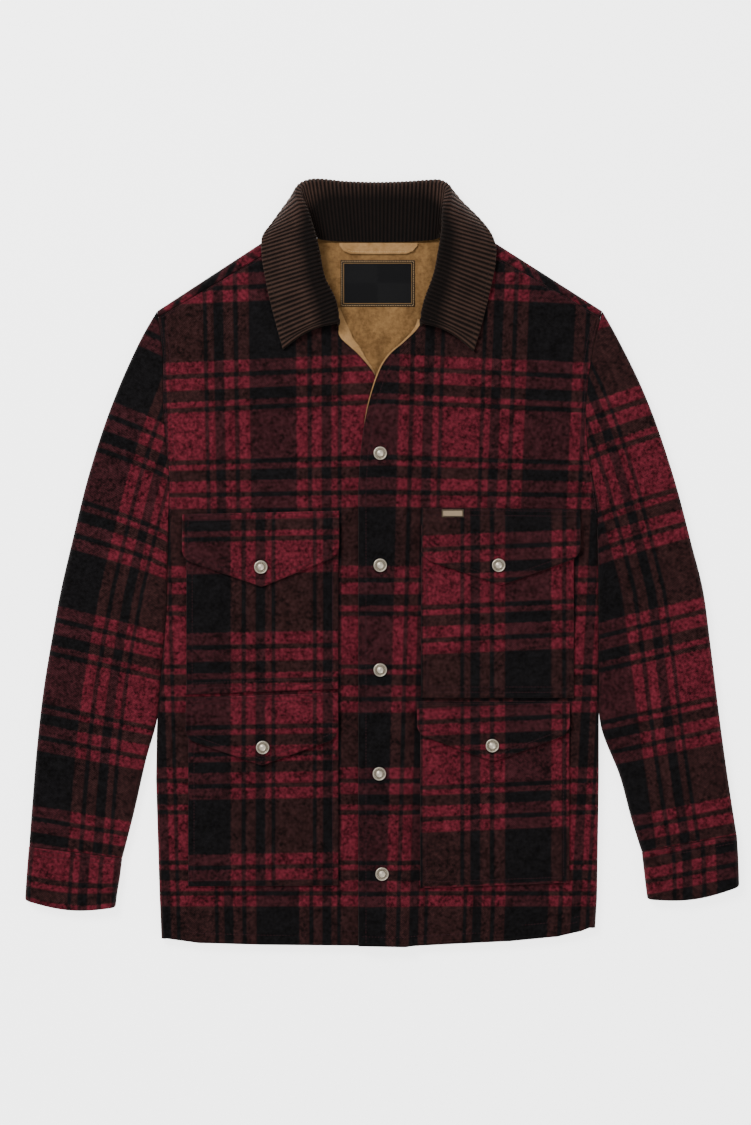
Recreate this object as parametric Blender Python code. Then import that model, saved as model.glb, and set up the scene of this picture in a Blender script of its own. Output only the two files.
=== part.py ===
"""Lined wool jacket laid flat on its back, its front snapped shut.

The jacket lies on the plane z = 0 with its collar towards +Y. Right and left are
the wearer's, so the right front is on the -X side. The left front laps over it.
All sizes and tables are in millimetres, and make_solid turns them into metres.
"""
import math

import bmesh
import bpy
from mathutils import Vector

MM = 0.001

# Cloth
WALL = 5.0            # wool shell, quilted wadding and lining together
GAP_INSIDE = 2.0      # air between the back and the fronts
FLAT = 2 * WALL + GAP_INSIDE
ROLL = FLAT / 2       # outer radius where a layer turns under the other
SEAM = 0.35           # half of the clearance between two pieces at a seam
LAP = 0.4             # clearance between a piece and what it lies on
TURN_UNDER = 24.0     # front cloth behind the side fold, up to the side seam
POCKET_CLOTH = 3.0
FLAP_CLOTH = 3.0
COLLAR_CLOTH = 3.4
RIB_PITCH = 4.4
RIB_HEIGHT = 0.9
LINING = 1.0
UNDERARM_Y = 46.0

# Body outline, from the hem up to the underarm, and the armhole above it
SIDE = {
    "right": [(-410, -243), (-371, -245), (-305, -247), (-239, -249), (-181, -248),
              (-151, -246), (-85, -240), (-41, -237), (25, -237), (46, -235.5)],
    "left": [(-400, 235), (-371, 237), (-305, 238), (-239, 239), (-150, 239),
             (-41, 239), (46, 238.5)],
}
ARMHOLE = {
    "right": [(46, -235.5), (75, -234), (96, -234), (134, -238), (171, -241), (228, -241),
              (255, -244), (277, -248)],
    "left": [(46, 238.5), (64, 236.6), (90, 232.6), (127, 226), (166, 224), (203, 227),
             (241, 233), (277, 243)],
}
HEM = [(-243, -410), (-238, -414), (-202, -419), (-132, -421), (-28, -422), (24, -423),
       (79, -420), (141, -417), (193, -412), (219, -406), (235, -400)]
BACK_HEM_SHORT = 2.0

# Shoulder fold lines, from the neck to the sleeve head
SHOULDER = {"right": ((-101, 373), (-248, 277)), "left": ((97, 370), (243, 277))}
SHOULDER_REACH = 0.972           # share of the fold line that stays clear of the sleeve
SHOULDER_SEAM_IN = (15.0, 7.0)   # how far the back wraps forward, at neck and sleeve
BACK_NECK = [(-87, 360), (-72, 357.5), (-40, 356.5), (0, 356), (38, 356.5), (62, 357),
             (80, 359.5)]

# Each row crosses a front, from its centre or neck edge to the side or armhole
FRONT_ROWS = {
    "right": [  # centre_x, centre_y, side_y
        (21.5, -422, -410), (21.5, -385, -375), (21.5, -305, -305), (21.5, -239, -239),
        (21.5, -160, -160), (21.5, -80, -80), (21.5, -10, -10), (21.5, 46, 46),
        (19, 66, 62), (15, 105, 95), (8, 150, 130), (0, 184, 160), (-9, 208, 184),
        (-26, 229, 206), (-46, 248, 222), (-48, 262, 232), (-53, 287, 242),
        (-65, 312, 250), (-71, 342, 259), (-92.6, 359.6, 270.6)],
    "left": [
        (-26, -423, -400), (-26, -385, -375), (-26, -305, -305), (-26, -239, -239),
        (-26, -160, -160), (-26, -80, -80), (-26, -10, -10), (-26, 46, 46),
        (-26, 79, 66), (-23, 125, 100), (-16, 169, 135), (-4, 208, 170), (8, 228, 190),
        (26, 244, 208), (42, 262, 224), (48, 285, 236), (59, 316, 247), (64, 342, 258),
        (87, 357, 268.4)],
}
FRONT_STEPS = 22
FRONT_COLUMNS = {
    "right": [0, 0.09, 0.18, 0.27, 0.36, 0.45, 0.54, 0.63, 0.72, 0.81, 0.9, 1],
    "left": [0, 0.09, 0.17, 0.195, 0.22, 0.25, 0.31, 0.4, 0.5, 0.6, 0.7, 0.8, 0.9, 1],
}
LAP_LIFT_X = (24.5, 36.0)        # the lapped front comes down between these
FRONT_FOLDS = [  # x, y, degrees, length, width, height
    (-196, 128, 38, 70, 24, 1.3), (-176, 208, -24, 80, 30, 0.9), (-96, 176, 80, 70, 32, 0.7),
    (188, 132, -40, 72, 24, 1.3), (172, 214, 22, 76, 30, 0.9), (84, 168, 98, 66, 30, 0.7),
    (-226, -90, 86, 120, 14, 0.8), (228, -60, 92, 130, 12, 0.7),
]

SLEEVES = {
    "right": [  # outer_x, outer_y, inner_x, inner_y, thickness
        (-248.4, 277, -236.2, 46, 12.0), (-266, 246, -238.3, 34, 12.4),
        (-288, 198, -238.9, 10, 13.0), (-307, 148, -239.2, -12, 13.6),
        (-325, 90, -239.6, -35, 13.8), (-341, 25, -240.6, -62, 13.8),
        (-354, -31, -243, -92, 13.8), (-364, -85, -247.2, -128, 13.8),
        (-373, -140, -251, -172, 13.6), (-380, -200, -260, -218, 13.2),
        (-385, -260, -273, -275, 12.8), (-389, -312.6, -286, -325.6, 12.4)],
    "left": [
        (243.4, 277, 239.2, 46, 12.0), (262, 243, 240.3, 34, 12.4),
        (285, 196, 240.6, 12, 13.0), (304, 148, 240.8, -8, 13.6),
        (324, 86, 241, -32, 13.8), (341, 21, 241.3, -58, 13.8),
        (354, -31, 241.8, -86, 13.8), (362, -90, 242.6, -124, 13.8),
        (370, -155, 247, -180, 13.6), (378, -215, 261.5, -234, 13.2),
        (385, -262, 274, -280, 12.8), (391, -299.6, 286, -318.6, 12.4)],
}
SLEEVE_FOLDS = {
    "right": [  # place from the sleeve head to the cuff, slant, width, height
        (0.12, 0.05, 0.05, 0.9), (0.3, -0.07, 0.04, 1.2), (0.47, 0.06, 0.035, 1.4),
        (0.6, -0.05, 0.03, 1.0), (0.82, 0.05, 0.04, 0.9)],
    "left": [
        (0.15, -0.06, 0.05, 1.0), (0.33, 0.06, 0.04, 1.1), (0.5, -0.06, 0.035, 1.4),
        (0.64, 0.05, 0.03, 1.0), (0.85, -0.04, 0.04, 0.8)],
}
CUFFS = {
    "right": [(-389.2, -313.4, -286.2, -326.4, 13.4), (-391, -335, -288.5, -346, 13.8),
              (-392.5, -357, -291.5, -364, 13.8), (-393.4, -372, -293.5, -380, 13.4)],
    "left": [(391.2, -300.4, 286.2, -319.4, 13.4), (392.6, -322, 288.4, -339, 13.8),
             (393.4, -342, 290.6, -358, 13.8), (393.8, -357, 292.4, -371, 13.4)],
}
CUFF_DIP = 7.0                   # the cuff's edge curves out in its middle

# Collar: each row is one section from the neck seam over the fold to the outer edge
COLLAR_ROWS = [
    # fold x, y, z, outward degrees, seam x, y, z, edge x, y, z
    (-51, 261.5, 20, 203, -46, 261, 12.5, -109, 234, 16.4),
    (-56, 287, 22, 200, -51, 286, 12.5, -117, 263, 16.4),
    (-68, 312, 24, 195, -63, 311, 12.5, -125, 295, 16.6),
    (-74, 342, 26, 194, -69, 340, 12.5, -131, 326, 17),
    (-79, 362, 27, 193, -72.6, 354, 12.2, -133, 347, 17),
    (-84, 378, 27, 190, -74, 357.4, 11.4, -131.5, 360, 14.5),
    (-88.5, 392, 26, 184, -74.2, 358.4, 10.6, -122, 374, 8.5),
    (-91, 404, 21, 166, -73.4, 358.4, 9.9, -106, 396, 3.5),
    (-88, 412, 14.5, 138, -71.6, 357.4, 9.5, -95, 407.5, 0.6),
    (-78, 417, 8.2, 108, -67, 355.6, 9.4, -78, 395, 0.1),
    (-64, 417.5, 5.3, 94, -56, 354.3, 9.4, -62, 372, 0),
    (-40, 415, 5, 90, -35, 353.5, 9.4, -39, 361, 0),
    (-4, 414, 5, 90, -4, 353, 9.4, -4, 359.5, 0),
    (28, 415, 5, 90, 26, 353.5, 9.4, 27, 361, 0),
    (50, 416.5, 5.4, 84, 47, 354.6, 9.4, 48, 372, 0),
    (62, 416.5, 8.2, 70, 58, 355.8, 9.4, 61, 395, 0.1),
    (70, 411.5, 14.5, 42, 62.6, 357.4, 9.6, 77, 408, 0.6),
    (72.5, 403, 21, 14, 64.4, 358.4, 10, 91, 396, 3.5),
    (72, 391, 26, -4, 65.2, 358.2, 10.8, 109, 378, 8.5),
    (71, 376, 27, -10, 65.2, 357, 11.6, 120.5, 362, 14.5),
    (70, 360, 27, -13, 65, 354, 12.2, 125.5, 346, 17),
    (67, 342, 26, -14, 62, 340, 12.5, 124.5, 325, 17),
    (62, 316, 24, -17, 57, 315, 12.5, 118, 294, 16.6),
    (51, 285, 22, -20, 46, 284, 12.5, 110, 262, 16.4),
    (46, 261.5, 20, -24, 41, 261, 12.5, 101, 232, 16.4),
]
COLLAR_FOLD_RADIUS = 5.0
COLLAR_END_HOLLOW = 6.0          # how far the short ends curve in

POCKETS = {  # x at inner and outer side, bottom y at inner and outer side
    "upper_right": (-48, -215, -139, -145),
    "lower_right": (-48, -213, -355, -356),
    "upper_left": (43, 211, -149, -149),
    "lower_left": (42, 206, -358, -352),
}
POCKET_TOP_BELOW = 18.5          # from the flap's top edge down to the pocket's
FLAPS = {  # x left and right, top y left and right, side y left and right, point x, y
    "upper_right": (-219.5, -47, 53, 57, 12, 17, -132, -27),
    "lower_right": (-215.5, -48, -149, -143, -186, -184, -132, -223),
    "upper_left": (44, 218, 60, 58, 12, 15, 131, -25),
    "lower_left": (38.5, 206.5, -153, -153, -180, -179, 122, -219),
}
FLAP_COLUMNS = [0, 0.015, 0.04, 0.08, 0.29, 0.5, 0.71, 0.92, 0.96, 0.985, 1]
FLAP_CORNER_DROP = {0: 0.0, 0.015: 0.16, 0.04: 0.27, 0.08: 0.34}
FLAP_TOP_ROWS = [0, 10.5, 13, 16]    # distances below the flap's top edge
FLAP_LOW_ROWS = [0.5, 1]             # shares of what is left below them
FLAP_CLIMB = (10.0, 16.0)            # where the flap climbs over its pocket's top edge

SNAP_RADIUS = 7.3
SNAP_PROFILE = [(7.3, 0), (7.3, 0.8), (6.7, 1.4), (6.0, 1.3), (3.6, 2.6)]
SNAP_TOP = 2.9
FRONT_SNAPS = [(-2, 120), (-2, -3), (-2, -118), (-3, -232), (0, -342)]
FLAP_SNAPS = {"upper_right": (-133, -5), "lower_right": (-131, -203),
              "upper_left": (128, -3), "lower_left": (121, -201)}

NECK_LABEL = (-45.5, 36, 282, 333)
POCKET_LABEL = (66, 89.5, 50, 58)
LINING_ROWS = [  # y, left x, right x
    (196, -30, 26), (225, -44, 42), (262, -54, 50), (300, -66, 58), (335, -74, 66),
    (352.4, -76, 68)]
LOOP_ROWS = [(-47, 352, 349), (-42, 352, 343), (-35, 352, 340), (-4, 352, 339.6),
             (27, 352, 340), (34, 352, 343), (39, 352, 349)]
FACING_WIDTH = {  # y and width of the lining cloth that shows past a front's neck edge
    "right": [(206, 1.2), (226, 4.5), (238, 10.5), (251, 14), (262, 9), (280, 4)],
    "left": [(90, 1.3), (222, 1.6), (246, 2.2), (268, 5)],
}

COLOURS = {  # base colour, roughness, metallic
    "wool": ((0.085, 0.012, 0.020, 1), 0.95, 0.0),
    "corduroy": ((0.022, 0.013, 0.011, 1), 0.9, 0.0),
    "lining": ((0.36, 0.22, 0.10, 1), 0.85, 0.0),
    "label": ((0.015, 0.015, 0.016, 1), 0.8, 0.0),
    "snap": ((0.52, 0.46, 0.38, 1), 0.38, 1.0),
}


def mix(a, b, t):
    return a + (b - a) * t


def smooth_step(low, high, value):
    t = min(1.0, max(0.0, (value - low) / (high - low)))
    return t * t * (3 - 2 * t)


def along(table, at):
    """Read the second column of a table at a value of its first."""
    rows = sorted(table)
    if at <= rows[0][0]:
        return rows[0][1]
    for (a, first), (b, second) in zip(rows, rows[1:]):
        if at <= b:
            return mix(first, second, (at - a) / (b - a))
    return rows[-1][1]


def smooth_rows(rows, places):
    """Rows of a table read at places from 0 to 1, on a smooth curve through them."""
    last = len(rows) - 1
    result = []
    for place in places:
        k = min(int(place * last), last - 1)
        t = place * last - k
        picks = [rows[max(k - 1, 0)], rows[k], rows[k + 1], rows[min(k + 2, last)]]
        result.append([
            0.5 * (2 * b + (c - a) * t + (2 * a - 5 * b + 4 * c - d) * t ** 2
                   + (3 * b - a - 3 * c + d) * t ** 3)
            for a, b, c, d in zip(*picks)])
    return result


def material(kind):
    found = bpy.data.materials.get(kind)
    if found:
        return found
    made = bpy.data.materials.new(kind)
    made.use_nodes = True
    colour, roughness, metallic = COLOURS[kind]
    shader = made.node_tree.nodes["Principled BSDF"]
    shader.inputs["Base Color"].default_value = colour
    shader.inputs["Roughness"].default_value = roughness
    shader.inputs["Metallic"].default_value = metallic
    made.diffuse_color = colour
    return made


def make_solid(name, points, faces, kind):
    """One closed object from points in millimetres."""
    mesh = bpy.data.meshes.new(name)
    mesh.from_pydata([Vector(p) * MM for p in points], [], faces)
    shape = bmesh.new()
    shape.from_mesh(mesh)
    bmesh.ops.recalc_face_normals(shape, faces=shape.faces)
    bmesh.ops.triangulate(shape, faces=shape.faces)
    shape.to_mesh(mesh)
    shape.free()
    mesh.shade_smooth()
    mesh.set_sharp_from_angle(angle=math.radians(40))
    mesh.materials.append(material(kind))
    made = bpy.data.objects.new(name, mesh)
    bpy.context.collection.objects.link(made)
    return made


def cloth_solid(name, outer, inner, faces, kind):
    """A wall between a sheet's outer and inner points, closed along the sheet's edges."""
    count = len(outer)
    walls = [tuple(i + count for i in reversed(face)) for face in faces]
    edges = {(face[k], face[(k + 1) % len(face)]) for face in faces for k in range(len(face))}
    for a, b in edges:
        if (b, a) not in edges:
            walls.append((b, a, a + count, b + count))
    return make_solid(name, outer + inner, faces + walls, kind)


def grid_faces(rows, columns, start=0, wrap=False):
    faces = []
    for r in range(rows - 1):
        for c in range(columns if wrap else columns - 1):
            d = (c + 1) % columns
            a = start + r * columns
            faces.append((a + c, a + d, a + columns + d, a + columns + c))
    return faces


def grid_solid(name, outer_rows, inner_rows, kind, wrap=False):
    outer = [p for row in outer_rows for p in row]
    inner = [p for row in inner_rows for p in row]
    faces = grid_faces(len(outer_rows), len(outer_rows[0]), wrap=wrap)
    return cloth_solid(name, outer, inner, faces, kind)


def sheet_on(name, rows, height, thickness, kind):
    """A flat piece from rows of (x, y), its outer side at a height above z = 0."""
    outer = [[(x, y, height(x, y)) for x, y in row] for row in rows]
    inner = [[(x, y, z - thickness) for x, y, z in row] for row in outer]
    return grid_solid(name, outer, inner, kind)


def front_swell(x, y):
    total = 0.0
    for fold_x, fold_y, degrees, length, width, height in FRONT_FOLDS:
        turn = math.radians(degrees)
        dx = x - fold_x
        dy = y - fold_y
        run = (dx * math.cos(turn) + dy * math.sin(turn)) / length
        off = (dy * math.cos(turn) - dx * math.sin(turn)) / width
        total += height * math.exp(-run * run - off * off)
    return total


def front_height(side):
    """The outer height of a front, which its pockets, flaps and snaps also use."""
    def height(x, y):
        lift = (WALL + LAP) * (1 - smooth_step(*LAP_LIFT_X, x)) if side == "left" else 0.0
        return FLAT + front_swell(x, y) + lift
    return height


def add_turn_under(outer, inner, faces, edge_ids, out_x, seam_step):
    """Roll a front's side edge round under the back, to the side seam."""
    steps = [(math.sin(a), math.cos(a)) for a in (math.pi * k / 5 for k in range(1, 6))]
    columns = len(steps) + 2
    first = len(outer)
    for i in edge_ids:
        x, y, top = outer[i]
        radius = top / 2
        for sine, cosine in steps:
            outer.append((x + out_x * ROLL * sine, y, radius + radius * cosine))
            thin = radius - WALL
            inner.append((x + out_x * (ROLL - WALL) * sine, y, radius + thin * cosine))
        for share in (0.5, 1.0):
            outer.append((x - out_x * seam_step * share, y, 0))
            inner.append((x - out_x * seam_step * share, y, WALL))
    rows = len(edge_ids)
    for r in range(rows - 1):
        a = first + r * columns
        ring = (edge_ids[r], a, a + columns, edge_ids[r + 1])
        faces.append(ring)
    faces += grid_faces(rows, columns, first)


def shoulder_frame(side):
    """The neck end of a shoulder fold, its run to the sleeve and its outward side."""
    neck, tip = (Vector(p) for p in SHOULDER[side])
    run = tip - neck
    outward = Vector((-run.y, run.x)).normalized()
    if outward.y < 0:
        outward = -outward
    return neck, run * SHOULDER_REACH, outward


def shoulder_point(side, share, depth):
    """A point on the shoulder, a depth in from its fold, from the neck to the sleeve."""
    neck, run, outward = shoulder_frame(side)
    return neck + run * share - outward * depth


def front_rows(side):
    return smooth_rows(FRONT_ROWS[side], [k / FRONT_STEPS for k in range(FRONT_STEPS + 1)])


def make_front(side):
    out_x = -1 if side == "right" else 1
    rows = front_rows(side)
    height = front_height(side)
    outer = []
    inner = []
    edge_ids = []
    for r, (centre_x, centre_y, side_y) in enumerate(rows):
        below = side_y <= UNDERARM_Y + 0.5
        if below:
            side_x = along(SIDE[side], side_y) - out_x * ROLL
        else:
            side_x = along(ARMHOLE[side], side_y) - out_x * SEAM
        for share in FRONT_COLUMNS[side]:
            x = mix(centre_x, side_x, share)
            y = along(HEM, x) if r == 0 else mix(centre_y, side_y, share)
            if r == FRONT_STEPS:
                seam_in = mix(*SHOULDER_SEAM_IN, share) + 2 * SEAM
                x, y = shoulder_point(side, share, seam_in)
            outer.append((x, y, height(x, y)))
            inner.append((x, y, height(x, y) - WALL))
        if below:
            edge_ids.append(len(outer) - 1)
    faces = grid_faces(len(rows), len(FRONT_COLUMNS[side]))
    add_turn_under(outer, inner, faces, edge_ids, out_x, TURN_UNDER)
    return cloth_solid("front_" + side, outer, inner, faces, "wool")


def make_back():
    top_line = [(x, y) for x, y in BACK_NECK]
    shoulder_columns = {}
    for side in ("right", "left"):
        ends = [tuple(shoulder_point(side, k / 4, ROLL)) for k in range(5)]
        shoulder_columns[side] = ends
        top_line += ends
    top_line.sort()
    places = [x for x, y in top_line]
    outer = []
    inner = []

    def put(x, y):
        outer.append((x, y, 0))
        inner.append((x, y, WALL))

    first, last = places[1], places[-2]
    hem_y = SIDE["right"][0][0]
    lower = [mix(hem_y, UNDERARM_Y + 1.2, k / 7) for k in range(8)]
    for r, y in enumerate(lower):
        left_x = along(SIDE["right"], y) + ROLL + TURN_UNDER + 2 * SEAM
        right_x = along(SIDE["left"], y) - ROLL - TURN_UNDER - 2 * SEAM
        for x in places[1:-1]:
            at = mix(left_x, right_x, (x - first) / (last - first))
            put(at, along(HEM, at) + BACK_HEM_SHORT if r == 0 else y)
    columns = len(places) - 2
    faces = grid_faces(len(lower), columns)
    start = len(outer)
    base = outer[-columns:]
    whole = len(places)
    steps = 11
    for r in range(1, steps + 1):
        share = r / steps
        side_right = mix(UNDERARM_Y + 1.2, top_line[0][1], share)
        side_left = mix(UNDERARM_Y + 1.2, top_line[-1][1], share)
        left_x = along(ARMHOLE["right"], side_right) + 2 * SEAM
        right_x = along(ARMHOLE["left"], side_left) - 2 * SEAM
        for c, (x, y) in enumerate(top_line):
            if c == 0:
                put(left_x if r < steps else x, side_right)
            elif c == whole - 1:
                put(right_x if r < steps else x, side_left)
            else:
                low = base[c - 1]
                put(mix(low[0], x, share), mix(low[1], y, share))
    faces += grid_faces(steps, whole, start)
    wing_right = len(outer)
    put(along(ARMHOLE["right"], UNDERARM_Y + 1.2) + SEAM, UNDERARM_Y + 1.2)
    wing_left = len(outer)
    put(along(ARMHOLE["left"], UNDERARM_Y + 1.2) - SEAM, UNDERARM_Y + 1.2)
    below = [wing_right] + list(range(start - columns, start)) + [wing_left]
    for c in range(whole - 1):
        faces.append((below[c], below[c + 1], start + c + 1, start + c))

    top_ids = list(range(start + (steps - 1) * whole, start + steps * whole))
    for side in ("right", "left"):
        neck, run, outward = shoulder_frame(side)
        ids = [top_ids[places.index(x)] for x, y in shoulder_columns[side]]
        add_shoulder_wrap(outer, inner, faces, ids, outward, flip=side == "left")
    return cloth_solid("back", outer, inner, faces, "wool")


def add_shoulder_wrap(outer, inner, faces, ids, outward, flip):
    """Roll the back's shoulder edge forward over the fronts, to the shoulder seam."""
    turns = [math.pi * k / 5 for k in range(1, 6)]
    columns = len(turns) + 1
    first = len(outer)
    for k, i in enumerate(ids):
        x, y, z = outer[i]
        p = Vector((x, y))
        for turn in turns:
            out = p + outward * ROLL * math.sin(turn)
            into = p + outward * (ROLL - WALL) * math.sin(turn)
            outer.append((out.x, out.y, ROLL - ROLL * math.cos(turn)))
            inner.append((into.x, into.y, ROLL - (ROLL - WALL) * math.cos(turn)))
        back_in = mix(*SHOULDER_SEAM_IN, k / (len(ids) - 1)) - ROLL
        end = p - outward * back_in
        outer.append((end.x, end.y, FLAT))
        inner.append((end.x, end.y, FLAT - WALL))
    strip = grid_faces(len(ids), columns, first)
    for k in range(len(ids) - 1):
        a = first + k * columns
        strip.append((ids[k], a, a + columns, ids[k + 1]))
    faces += [tuple(reversed(face)) for face in strip] if flip else strip


def flat_ring(outer_end, inner_end, thickness, shift=None, bulge=None, flats=8, turns=4):
    """The outer and inner points round a flattened tube, seen along its length."""
    a = Vector(outer_end)
    b = Vector(inner_end)
    width = (b - a).length
    radius = thickness / 2
    plan = []
    for k in range(flats + 1):
        plan.append((mix(radius, width - radius, k / flats), 1, 0.0))
    for k in range(1, turns):
        turn = math.pi / 2 - math.pi * k / turns
        plan.append((width - radius, math.sin(turn), math.cos(turn)))
    for k in range(flats + 1):
        plan.append((mix(width - radius, radius, k / flats), -1, 0.0))
    for k in range(1, turns):
        turn = -math.pi / 2 + math.pi * k / turns
        plan.append((radius, math.sin(turn), -math.cos(turn)))
    rings = []
    for size in (radius, radius - WALL):
        ring = []
        for run, up, across in plan:
            share = (run + across * size) / width
            p = a.lerp(b, share)
            if shift:
                p = p + shift(share)
            z = radius + up * size
            if bulge and up > 0:
                z += bulge(share) * up * (1.0 if size == radius else 0.4)
            ring.append((p.x, p.y, z))
        rings.append(ring)
    return rings


def make_sleeve(side):
    out_x = -1 if side == "right" else 1
    count = 18
    rows = smooth_rows(SLEEVES[side], [k / (count - 1) for k in range(count)])
    head = rows[0]
    outer_rows = []
    inner_rows = []
    for k, (ox, oy, ix, iy, thickness) in enumerate(rows):
        place = k / (count - 1)
        follow = max(0.0, 1 - place / 0.3) ** 2

        def shift(share):
            y = mix(head[1], head[3], share)
            line = mix(head[0], head[2], share)
            gap = along(ARMHOLE[side], y) + out_x * SEAM - line
            return Vector((gap * follow, 0))

        def bulge(share):
            total = 0.0
            for at, slant, width, height in SLEEVE_FOLDS[side]:
                off = (place - at - slant * (share - 0.5)) / width
                total += height * math.exp(-off * off) * math.sin(math.pi * share)
            return total * smooth_step(0, 0.08, place) * smooth_step(1, 0.94, place)

        outer, inner = flat_ring((ox, oy), (ix, iy), thickness, shift, bulge)
        outer_rows.append(outer)
        inner_rows.append(inner)
    return grid_solid("sleeve_" + side, outer_rows, inner_rows, "wool", wrap=True)


def make_cuff(side):
    rows = CUFFS[side]
    outer_rows = []
    inner_rows = []
    for k, (ox, oy, ix, iy, thickness) in enumerate(rows):
        dip = CUFF_DIP * k / (len(rows) - 1)
        outer, inner = flat_ring(
            (ox, oy), (ix, iy), thickness,
            lambda share, dip=dip: Vector((0, -dip * math.sin(math.pi * share))))
        outer_rows.append(outer)
        inner_rows.append(inner)
    return grid_solid("cuff_" + side, outer_rows, inner_rows, "wool", wrap=True)


def collar_section(row, hollow):
    """Outer points and outward directions, from the neck seam to the outer edge."""
    fx, fy, fz, degrees, sx, sy, sz, ex, ey, ez = row
    centre = Vector((fx, fy, fz))
    seam = Vector((sx, sy, sz))
    edge = Vector((ex, ey, ez))
    turn = math.radians(degrees)
    out = Vector((math.cos(turn), math.sin(turn), 0))
    up = Vector((0, 0, 1))

    def tangent(point, side):
        run = (point - centre).dot(out)
        rise = (point - centre).z
        reach = max(math.hypot(run, rise), COLLAR_FOLD_RADIUS * 1.02)
        return math.atan2(rise, run) + side * math.acos(COLLAR_FOLD_RADIUS / reach)

    low = tangent(edge, 1)
    high = tangent(seam, -1)
    while high < low:
        high += 2 * math.pi
    normals = []
    for share in (0, 1 / 3, 2 / 3, 1):
        angle = mix(high, low, share)
        normals.append(out * math.cos(angle) + up * math.sin(angle))
    points = [seam]
    points += [centre + n * COLLAR_FOLD_RADIUS for n in normals]
    fall_start = points[-1]
    for share in (0.5, 1.0):
        p = fall_start.lerp(edge, share)
        points.append(p + hollow * math.sin(math.pi * share))
    normals = [normals[0]] + normals + [normals[-1], normals[-1]]
    return points, normals


def collar_places(count):
    """Places in the section table that stand evenly spaced along the fold."""
    fine = [k / 400 for k in range(401)]
    rows = smooth_rows(COLLAR_ROWS, fine)
    lengths = [0.0]
    for a, b in zip(rows, rows[1:]):
        lengths.append(lengths[-1] + math.dist(a[:3], b[:3]))
    if count is None:
        count = 4 * round(lengths[-1] / RIB_PITCH / 2)
    wanted = [lengths[-1] * k / count for k in range(count + 1)]
    return [along(list(zip(lengths, fine)), length) for length in wanted], lengths[-1]


def make_collar():
    """Ribs are raised in the outer points, and the inside is plain and coarser."""
    places, length = collar_places(None)
    rows = smooth_rows(COLLAR_ROWS, places)
    outer = []
    inner = []
    for k, row in enumerate(rows):
        from_end = min(k, len(rows) - 1 - k) * length / (len(rows) - 1)
        hollow = Vector((0, COLLAR_END_HOLLOW * (1 - smooth_step(0, 14, from_end)), 0))
        points, normals = collar_section(row, hollow)
        rib = RIB_HEIGHT if k % 2 else 0.0
        for c, (p, n) in enumerate(zip(points, normals)):
            run_out = 0.0 if c == 0 else smooth_step(-0.6, 0.1, n.z)
            outer.append(p + n * rib * run_out)
            if k % 4 == 0:
                inner.append(p - n * COLLAR_CLOTH)
    width = len(points)
    start = len(outer)
    inner_rows = len(inner) // width
    faces = grid_faces(len(rows), width)
    faces += [tuple(reversed(f)) for f in grid_faces(inner_rows, width, start)]
    for k in range(inner_rows - 1):
        for c in (0, width - 1):
            a = [(4 * k + i) * width + c for i in range(5)]
            b = [start + (k + i) * width + c for i in range(2)]
            strip = [(a[0], a[1], b[0]), (a[1], a[2], b[0]), (b[0], a[2], b[1]),
                     (a[2], a[3], b[1]), (a[3], a[4], b[1])]
            faces += [tuple(reversed(f)) for f in strip] if c else strip
    for row, back_row in ((0, 0), (len(rows) - 1, inner_rows - 1)):
        for c in range(width - 1):
            a = row * width + c
            b = start + back_row * width + c
            faces.append((a, b, b + 1, a + 1))
    return make_solid("collar", outer + inner, faces, "corduroy")


def flap_top(key, x):
    left_x, right_x, top_left, top_right = FLAPS[key][:4]
    return mix(top_left, top_right, (x - left_x) / (right_x - left_x))


def flap_height(key, x, y):
    """The outer height of a flap, which climbs from the front onto its pocket."""
    side = key.split("_")[1]
    climb = (POCKET_CLOTH + LAP) * smooth_step(*FLAP_CLIMB, flap_top(key, x) - y)
    return front_height(side)(x, y) + LAP + FLAP_CLOTH + climb


def make_pocket(key):
    inner_x, outer_x, inner_y, outer_y = POCKETS[key]
    base = front_height(key.split("_")[1])
    rows = []
    for share in (0, 0.12, 0.34, 0.56, 0.78, 1):
        row = []
        for across in (0, 0.14, 0.32, 0.5, 0.68, 0.86, 1):
            x = mix(inner_x, outer_x, across)
            top = flap_top(key, x) - POCKET_TOP_BELOW
            row.append((x, mix(mix(inner_y, outer_y, across), top, share)))
        rows.append(row)
    return sheet_on("pocket_" + key, rows, lambda x, y: base(x, y) + LAP + POCKET_CLOTH,
                    POCKET_CLOTH, "wool")


def flap_bottom(key, across):
    """The flap's lower edge: rounded corners, then straight down to its point."""
    left_x, right_x, _, _, side_left, side_right, point_x, point_y = FLAPS[key]
    from_side = min(across, round(1 - across, 3))
    corner, start_x = (side_left, left_x) if across < 0.5 else (side_right, right_x)
    drop = corner - point_y
    if from_side in FLAP_CORNER_DROP:
        return corner - drop * FLAP_CORNER_DROP[from_side]
    x = mix(left_x, right_x, across)
    straight = max(FLAP_CORNER_DROP)
    t = (abs(x - start_x) / abs(point_x - start_x) - 2 * straight) / (1 - 2 * straight)
    return corner - drop * mix(FLAP_CORNER_DROP[straight], 1, min(t, 1))


def make_flap(key):
    left_x, right_x = FLAPS[key][:2]
    rows = []
    for k in range(len(FLAP_TOP_ROWS) + len(FLAP_LOW_ROWS)):
        row = []
        for across in FLAP_COLUMNS:
            x = mix(left_x, right_x, across)
            top = flap_top(key, x)
            if k < len(FLAP_TOP_ROWS):
                y = top - FLAP_TOP_ROWS[k]
            else:
                share = FLAP_LOW_ROWS[k - len(FLAP_TOP_ROWS)]
                y = mix(top - FLAP_TOP_ROWS[-1], flap_bottom(key, across), share)
            row.append((x, y))
        rows.append(row)
    return sheet_on("flap_" + key, rows, lambda x, y: flap_height(key, x, y),
                    FLAP_CLOTH, "wool")


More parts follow.
